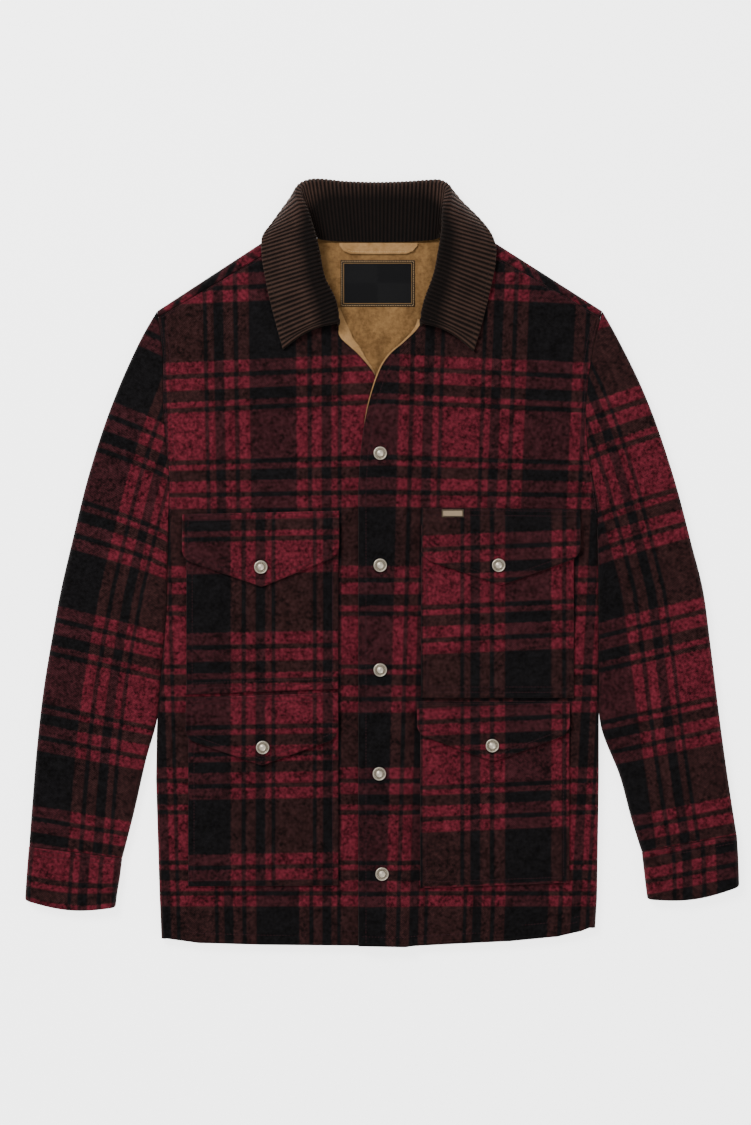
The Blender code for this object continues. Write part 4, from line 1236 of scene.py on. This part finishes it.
def makeFlap(key):
    left, right, topLeft, topRight = flaps[key][:4]
    shares = graded(right - left, patch["step"]) / (right - left)
    x = left + (right - left) * shares
    top = flapTop(key, x)
    bottom = flapEdge(key, shares)
    tall = (top - bottom).mean()
    drop = graded(tall, patch["step"] * 0.8) / tall
    y = top + (bottom - top) * drop[:, None]
    plan = np.stack([np.broadcast_to(x, y.shape), y], axis=-1)
    topEdge = resample(plan[0], 8)
    sides = np.concatenate([plan[:, 0], plan[-1, 1:-1], plan[::-1, -1]])
    free = resample(sides, 3)
    height = flapHeight(key)
    snapX, snapY = snapPlaces["flap_" + key]

    def curled(x, y):
        points = np.stack(np.broadcast_arrays(x, y), axis=-1)
        off = distanceTo(points, free)
        held = np.exp(-((x - snapX) ** 2 + (y - snapY) ** 2) / 34 ** 2)
        low = softStep(14, 34, flapTop(key, x) - y)
        dimple = 0.5 * np.exp(-((x - snapX) ** 2 + (y - snapY) ** 2) / 11 ** 2)
        return height(x, y) + patch["curl"] * np.exp(-(off / 12) ** 2) * low * (1 - held) - dimple

    trims = [(free, patch["edge"], (patch["stitch"],)), (topEdge, patch["edge"], (2.0, 7.4))]
    surface = trimmedSurface(curled, trims)
    outer = np.concatenate([plan, surface(plan)[..., None]], axis=-1)
    under = height(plan[..., 0], plan[..., 1]) - patch["cloth"]
    inner = np.concatenate([plan, under[..., None]], axis=-1)
    panel = Cloth()
    ids = panel.put(outer, inner)
    panel.skin(ids, patchCut("flap_" + key, plan[..., 0], plan[..., 1]))
    piece = panel.finish("jacket_flap_" + key, "wool")
    place(piece, "flap_" + key, "wool", (right - left + 20, (top - bottom).max() + 20))
    middle = plan[plan.shape[0] // 2, plan.shape[1] // 2]
    paths = stitchLine(surface, free, patch["stitch"], middle, [(topEdge, 7.4)])
    for at in (2.0, 7.4):
        paths += stitchLine(surface, topEdge, at, middle, [(free, 2.2)])
    sew("stitches_flap_" + key, paths, "wineThread", "wool")


# Collar
collar = {
    "cloth": 3.4, "pitch": 4.4, "rib": 0.9, "foldRadius": 5.0, "endHollow": 6.0, "perWale": 6,
    "stand": 7, "arc": 9, "fall": 16, "stitch": 6.5, "edge": 1.6,
}
collarTable = [
    # fold x, y, z, outward degrees, seam x, y, z, edge x, y, z
    (-51, 261.5, 20, 203, -46, 261, 12.5, -109, 234, 16.4),
    (-56, 287, 22, 200, -51, 286, 12.5, -117, 263, 16.4),
    (-68, 312, 24, 195, -63, 311, 12.5, -125, 295, 16.6),
    (-74, 342, 26, 194, -69, 340, 12.5, -131, 326, 17),
    (-79, 362, 27, 193, -72.6, 354, 12.2, -133, 347, 17),
    (-84, 378, 27, 190, -74, 357.4, 11.4, -131.5, 360, 14.5),
    (-88.5, 392, 26, 184, -74.2, 358.4, 10.6, -122, 374, 8.5),
    (-91, 404, 21, 166, -73.4, 358.4, 9.9, -106, 396, 3.5),
    (-88, 412, 14.5, 138, -71.6, 357.4, 9.5, -95, 407.5, 0.6),
    (-78, 417, 8.2, 108, -67, 355.6, 9.4, -78, 395, 0.1),
    (-64, 417.5, 5.3, 94, -56, 354.3, 9.4, -62, 372, 0),
    (-40, 415, 5, 90, -35, 353.5, 9.4, -39, 361, 0),
    (-4, 414, 5, 90, -4, 353, 9.4, -4, 359.5, 0),
    (28, 415, 5, 90, 26, 353.5, 9.4, 27, 361, 0),
    (50, 416.5, 5.4, 84, 47, 354.6, 9.4, 48, 372, 0),
    (62, 416.5, 8.2, 70, 58, 355.8, 9.4, 61, 395, 0.1),
    (70, 411.5, 14.5, 42, 62.6, 357.4, 9.6, 77, 408, 0.6),
    (72.5, 403, 21, 14, 64.4, 358.4, 10, 91, 396, 3.5),
    (72, 391, 26, -4, 65.2, 358.2, 10.8, 109, 378, 8.5),
    (71, 376, 27, -10, 65.2, 357, 11.6, 120.5, 362, 14.5),
    (70, 360, 27, -13, 65, 354, 12.2, 125.5, 346, 17),
    (67, 342, 26, -14, 62, 340, 12.5, 124.5, 325, 17),
    (62, 316, 24, -17, 57, 315, 12.5, 118, 294, 16.6),
    (51, 285, 22, -20, 46, 284, 12.5, 110, 262, 16.4),
    (46, 261.5, 20, -24, 41, 261, 12.5, 101, 232, 16.4),
]


def collarSection(row, hollow):
    centre = row[0:3]
    seam = row[4:7]
    edge = row[7:10]
    turn = math.radians(row[3])
    out = np.array([math.cos(turn), math.sin(turn), 0.0])
    upward = np.array([0.0, 0.0, 1.0])
    radius = collar["foldRadius"]

    def tangent(point, side):
        run = (point - centre) @ out
        rise = point[2] - centre[2]
        reach = max(math.hypot(run, rise), radius * 1.02)
        return math.atan2(rise, run) + side * math.acos(radius / reach)

    low = tangent(edge, 1)
    high = tangent(seam, -1)
    while high < low:
        high += 2 * math.pi
    angles = np.linspace(high, low, collar["arc"])[:, None]
    turned = out * np.cos(angles) + upward * np.sin(angles)
    bend = centre + turned * radius
    up = np.linspace(0, 1, collar["stand"])[:-1, None]
    stand = seam + (bend[0] - seam) * up
    fallSteps = np.concatenate([np.linspace(0, 1, collar["fall"])[1:-1], [0.965, 0.985, 0.995, 1.0]])
    fallSteps = np.unique(fallSteps)[:, None]
    fall = bend[-1] + (edge - bend[-1]) * fallSteps + hollow * np.sin(math.pi * fallSteps)
    points = np.concatenate([stand, bend, fall])
    normals = np.concatenate([np.repeat(turned[:1], len(stand), axis=0), turned,
                              np.repeat(turned[-1:], len(fall), axis=0)])
    return points, normals


def makeCollar():
    fine = np.linspace(0, 1, 1201)
    table = smoothRows(collarTable, fine)
    reached = runLength(table[:, :3])
    wales = 2 * round(reached[-1] / collar["pitch"] / 2)
    count = wales * collar["perWale"]
    wanted = np.linspace(0, reached[-1], count + 1)
    rows = smoothRows(collarTable, np.interp(wanted, reached, fine))
    outer = []
    inner = []
    cut = []
    sewn = []
    for k, row in enumerate(rows):
        fromEnd = min(wanted[k], wanted[-1] - wanted[k])
        hollow = np.array([0, collar["endHollow"] * (1 - softStep(0, 14, fromEnd)), 0])
        points, normals = collarSection(row, hollow)
        along = runLength(points)
        toEdge = along[-1] - along
        phase = k / collar["perWale"]
        rib = abs(math.sin(math.pi * phase)) ** 0.7 * collar["rib"]
        rise = softStep(0, 5, along) * softStep(-0.6, 0.1, normals[:, 2])
        pressed = np.exp(-((toEdge - collar["stitch"]) / 1.6) ** 2)
        pressed = np.maximum(pressed, math.exp(-((fromEnd - collar["stitch"]) / 1.6) ** 2))
        edgeOff = np.maximum(roundOff(toEdge, collar["edge"]), roundOff(np.full(len(along), fromEnd), collar["edge"]))
        lift = rib * rise * (1 - 0.75 * pressed) - 0.35 * pressed - edgeOff
        outer.append(points + normals * lift[:, None])
        inner.append(points - normals * collar["cloth"])
        cut.append(np.stack([np.full(len(along), phase), along / along[-1]], axis=1))
        sewn.append([np.interp(along[-1] - collar["stitch"], along, outer[-1][:, i]) for i in range(3)])
    outer = np.array(outer)
    panel = Cloth()
    ids = panel.put(outer, np.array(inner))
    panel.skin(ids, np.array(cut))
    piece = panel.finish("jacket_collar", "corduroy")
    place(piece, "collar", "corduroy", (700, 130))
    endRow = int(round(collar["stitch"] / wanted[1]))
    edgePath = np.array(sewn)[endRow:-endRow]
    first = outer[endRow]
    last = outer[-endRow - 1]
    fallStart = collar["stand"] + collar["arc"] - 1
    paths = [edgePath + [0, 0, 0.2], first[fallStart:-4] + [0, 0, 0.2], last[fallStart:-4] + [0, 0, 0.2]]
    sew("stitches_collar", paths, "brownThread", "corduroy")
    print("collar made:", wales, "wales,", len(piece.data.polygons), "faces")


# Neck opening
neck = {
    "lining": 1.0, "loop": 1.6, "label": 0.8, "labelBox": (-45.5, 36, 282, 333),
    "pocketLabelBox": (66, 89.5, 50, 58), "facing": 1.2,
    "facingDrop": {"right": 2.6, "left": 1.2}, "facingBelow": 0.5,
}
liningTable = [  # y, left x, right x
    (196, -30, 26), (225, -44, 42), (262, -54, 50), (300, -66, 58), (335, -74, 66),
    (352.4, -76, 68)]
loopTable = [(-47, 352, 349), (-42, 352, 343), (-35, 352, 340), (-4, 352, 339.6),
             (27, 352, 340), (34, 352, 343), (39, 352, 349)]
facingTable = {
    "right": [(206, 1.2), (226, 4.5), (238, 10.5), (251, 14), (262, 9), (280, 4)],
    "left": [(152, 0.15), (170, 0.8), (222, 1.6), (246, 2.2), (268, 5)],
}
liningFolds = [  # x, y, degrees, length, width, height
    (-38, 258, 64, 40, 5, 2.4), (33, 264, 112, 42, 5, 2.2), (-6, 238, 84, 36, 6, 2.0),
    (-60, 322, 80, 28, 5, 1.6), (54, 320, 98, 28, 5, 1.6), (10, 222, 60, 22, 5, 1.7),
    (-22, 252, 118, 26, 4, 1.6), (20, 246, 52, 24, 4, 1.5),
]


def flatPiece(name, plan, surface, under, cut, kind):
    outer = np.concatenate([plan, surface(plan)[..., None]], axis=-1)
    inner = np.concatenate([plan, under(plan)[..., None]], axis=-1)
    panel = Cloth()
    ids = panel.put(outer, inner)
    panel.skin(ids, cut)
    return panel.finish(name, kind)


def makeLining():
    rise = np.linspace(0, 1, 60)
    levels = liningTable[0][0] + (liningTable[-1][0] - liningTable[0][0]) * rise
    left = readTable(liningTable, levels, 1)
    right = readTable(liningTable, levels, 2)
    across = np.linspace(0, 1, 50)
    x = left[:, None] + (right - left)[:, None] * across
    plan = np.stack([x, np.repeat(levels[:, None], len(across), axis=1)], axis=-1)
    base = body["wall"] + body["lap"]

    def surface(points):
        total = np.zeros(points.shape[:-1])
        for foldX, foldY, degrees, length, width, height in liningFolds:
            turn = math.radians(degrees)
            dx = points[..., 0] - foldX
            dy = points[..., 1] - foldY
            run = (dx * math.cos(turn) + dy * math.sin(turn)) / length
            off = (dy * math.cos(turn) - dx * math.sin(turn)) / width
            total += height * np.exp(-run * run - off * off)
        labelLeft, labelRight, labelLow, _ = neck["labelBox"]
        besideLabel = np.maximum(labelLeft - points[..., 0], points[..., 0] - labelRight)
        clear = np.maximum(besideLabel, labelLow - points[..., 1])
        return base + neck["lining"] + total * softStep(0, 9, clear)

    cut = plan / 100
    piece = flatPiece("jacket_lining", plan, surface, lambda p: np.full(p.shape[:-1], base), cut, "lining")
    place(piece, "lining_back", "lining", (170, 175))


def makeLoop():
    xs = np.linspace(loopTable[0][0], loopTable[-1][0], 60)
    top = readTable(loopTable, xs, 1)
    low = readTable(loopTable, xs, 2)
    shares = np.array([0, 0.04, 0.1, 0.2, 0.35, 0.5, 0.65, 0.75, 0.84, 0.92, 0.97, 1.0])
    y = top + (low - top) * shares[:, None]
    plan = np.stack([np.broadcast_to(xs, y.shape), y], axis=-1)
    base = body["wall"] + 2 * body["lap"] + neck["lining"]
    lowLine = np.stack([xs, low], axis=1)[::3]

    def height(x, y):
        curl = 0.9 + 0.3 * np.sin(x * 0.21)
        return base + neck["loop"] + curl * softStep(350, 342, y)

    surface = trimmedSurface(height, [(lowLine, 0.8, (2.4,))])
    piece = flatPiece("jacket_hanger_loop", plan, surface, lambda p: np.full(p.shape[:-1], base),
                      plan / 100, "band")
    place(piece, "hanger_loop", "lining", (92, 16))
    paths = stitchLine(surface, lowLine[2:-2], 2.4, (-4, 360), [])
    sew("stitches_loop", paths, "tanThread", "lining", 2.6)


def makeLabel(name, node, box, under, kind, thread, pitch):
    left, right, low, high = box
    width, tall = right - left, high - low
    step = min(width, tall) / 14
    x = left + np.concatenate([[0, 0.2], np.arange(0.6, width - 0.5, step), [width - 0.2, width]])
    y = low + np.concatenate([[0, 0.2], np.arange(0.6, tall - 0.5, step), [tall - 0.2, tall]])
    plan = np.stack(np.meshgrid(x, y), axis=-1)
    edgeX = np.minimum(plan[..., 0] - left, right - plan[..., 0])
    edgeY = np.minimum(plan[..., 1] - low, high - plan[..., 1])

    def surface(points):
        off = np.minimum(np.minimum(points[..., 0] - left, right - points[..., 0]),
                         np.minimum(points[..., 1] - low, high - points[..., 1]))
        return under(points) + neck["label"] - roundOff(np.clip(off, 0, 9), 0.4)

    piece = flatPiece(name, plan, surface, under, np.stack([edgeX, edgeY], axis=-1), kind)
    place(piece, node, "label", (max(width, 10), max(tall, 10)))
    inset = pitch * 0.45
    corners = [(left + inset, low + inset), (right - inset, low + inset),
               (right - inset, high - inset), (left + inset, high - inset), (left + inset, low + inset)]
    paths = []
    for a, b in zip(corners, corners[1:]):
        line = resample(np.array([a, b], dtype=float), 1.0)
        paths.append(np.concatenate([line, surface(line)[:, None]], axis=1))
    sew("stitches_" + node, paths, thread, "label", pitch)


def makeFacing(side):
    fine = np.linspace(0, 1, 1201)
    rows = smoothRows(frontTable[side], fine)
    widths = facingTable[side]
    keep = (rows[:, 1] >= widths[0][0]) & (rows[:, 1] <= widths[-1][0])
    rows = rows[keep][::4]
    height = frontHeight(side)
    sideX = readTable(armhole[side], rows[:, 2])
    beyond = rows[:, :2] - np.stack([sideX, rows[:, 2]], axis=1)
    beyond = beyond / np.linalg.norm(beyond, axis=1)[:, None]
    width = readTable(widths, rows[:, 1])
    shares = np.array([0, 0.15, 0.3, 0.45, 0.6, 0.72, 0.82, 0.9, 0.96, 1.0])
    reach = 2 * body["seam"] + width[:, None] * shares
    plan = rows[:, None, :2] + beyond[:, None] * reach[..., None]
    top = height(rows[:, 0], rows[:, 1]) - neck["facingBelow"]
    drop = neck["facingDrop"][side] * shares
    bead = 0.3 * np.exp(-((shares - 0.86) / 0.08) ** 2)
    z = top[:, None] - drop + bead - roundOff((1 - shares) * width[:, None], 0.5)
    outer = np.concatenate([plan, z[..., None]], axis=-1)
    inner = np.concatenate([plan, (top[:, None] - drop - neck["facing"])[..., None]], axis=-1)
    panel = Cloth()
    ids = panel.put(outer, inner)
    panel.skin(ids, plan / 100)
    piece = panel.finish("jacket_facing_" + side, "band")
    place(piece, "facing_" + side, "lining")
    return piece


# Snaps
snap = {
    "radius": 7.3, "foot": 0.8, "rim": 0.55, "rimWidth": 1.15, "ringWidth": 1.9, "ringDrop": 0.45,
    "cap": 1.3, "capWidth": 1.2, "dome": 0.35, "segments": 48, "pits": 20, "pitRadius": 0.42,
}


def makeSnapShape():
    bpy.ops.object.select_all(action="DESELECT")
    bpy.ops.mesh.primitive_cylinder_add(
        vertices=snap["segments"], radius=snap["radius"] * mm, depth=snap["foot"] * mm,
        location=(0, 0, snap["foot"] * mm / 2))
    cap = bpy.context.object
    cap.name = "snapPattern"
    bpy.ops.object.transform_apply(location=True)
    bpy.ops.object.mode_set(mode="EDIT")
    bpy.ops.mesh.select_mode(type="FACE")
    shape = bmesh.from_edit_mesh(cap.data)
    for face in shape.faces:
        face.select_set(face.normal.z > 0.9)
    bmesh.update_edit_mesh(cap.data)
    steps = [  # inset, rise
        (0.25, snap["rim"] * 0.6), (0.3, snap["rim"] * 0.4), (0.3, 0.0), (0.3, -snap["rim"] * 0.35),
        (0.2, -snap["ringDrop"]), (snap["ringWidth"], 0.05), (0.15, snap["ringDrop"] * 1.2),
        (0.3, 0.45), (0.5, 0.35), (0.25, -0.12), (0.25, 0.14), (0.7, 0.18), (0.25, -0.1),
        (0.2, 0.12), (0.7, 0.1), (0.5, 0.02)]
    for inset, rise in steps:
        bpy.ops.mesh.inset(thickness=inset * mm, depth=0)
        bpy.ops.transform.translate(value=(0, 0, rise * mm))
    bpy.ops.object.mode_set(mode="OBJECT")
    mesh = cap.data
    mesh.uv_layers[0].name = "cut"
    mesh.materials.clear()
    mesh.materials.append(finishes["snap"])
    mesh.materials.append(finishes["snapDark"])
    ringOut = snap["radius"] - 1.35
    ringIn = ringOut - snap["ringWidth"] - 0.15
    for face in mesh.polygons:
        far = math.hypot(face.center.x, face.center.y) / mm
        if ringIn < far < ringOut and face.center.z > snap["foot"] * mm * 0.9:
            face.material_index = 1
    mesh.shade_smooth()
    mesh.set_sharp_from_angle(angle=math.radians(50))
    bpy.ops.object.select_all(action="DESELECT")
    bpy.ops.mesh.primitive_uv_sphere_add(segments=10, ring_count=6, radius=snap["pitRadius"] * mm)
    bead = bpy.context.object
    bead.name = "snapBead"
    return cap, bead


def makeSnaps():
    cap, bead = makeSnapShape()
    ringMiddle = snap["radius"] - 1.35 - snap["ringWidth"] / 2
    for name, (x, y) in snapPlaces.items():
        height = frontHeight("left") if name.startswith("front") else flapHeight(name[5:])
        z = float(height(np.array(float(x)), np.array(float(y)))) + body["lap"]
        parts = [(cap.data, 0.0, 0.0, 0.0)]
        for k in range(snap["pits"]):
            turn = 2 * math.pi * k / snap["pits"]
            parts.append((bead.data, ringMiddle * math.cos(turn), ringMiddle * math.sin(turn),
                          snap["foot"] + 0.1))
        shape = bmesh.new()
        for mesh, dx, dy, dz in parts:
            before = len(shape.verts)
            shape.from_mesh(mesh)
            shape.verts.ensure_lookup_table()
            for vert in shape.verts[before:]:
                vert.co.x += (x + dx) * mm
                vert.co.y += (y + dy) * mm
                vert.co.z += (z + dz) * mm
        made = bpy.data.meshes.new("snap_" + name)
        shape.to_mesh(made)
        shape.free()
        made.materials.append(finishes["snap"])
        made.materials.append(finishes["snapDark"])
        made.shade_smooth()
        made.set_sharp_from_angle(angle=math.radians(50))
        piece = bpy.data.objects.new("jacket_snap_" + name, made)
        bpy.context.collection.objects.link(piece)
        place(piece, "snap_" + name, "snap")
    bpy.data.objects.remove(cap)
    bpy.data.objects.remove(bead)
    print("snaps made:", len(snapPlaces))


def buildJacket():
    makeFinishes()
    makeBack()
    for side in ("right", "left"):
        makeFront(side)
        makeSleeve(side)
        makeCuff(side)
    for key in pockets:
        makePocket(key)
        makeFlap(key)
    print("pockets and flaps made")
    makeCollar()
    makeLining()
    makeLoop()
    labelBase = body["wall"] + 2 * body["lap"] + neck["lining"]
    makeLabel("jacket_neck_label", "neck_label", neck["labelBox"],
              lambda p: np.full(p.shape[:-1], labelBase), "neckLabel", "tanThread", 2.6)
    flapTopHeight = flapHeight("upper_left")
    makeLabel("jacket_pocket_label", "pocket_label", neck["pocketLabelBox"],
              lambda p: flapTopHeight(p[..., 0], p[..., 1]) + body["lap"], "pocketLabel",
              "brownThread", 1.6)
    makeSnaps()


addCamera()
addStudio()
buildJacket()
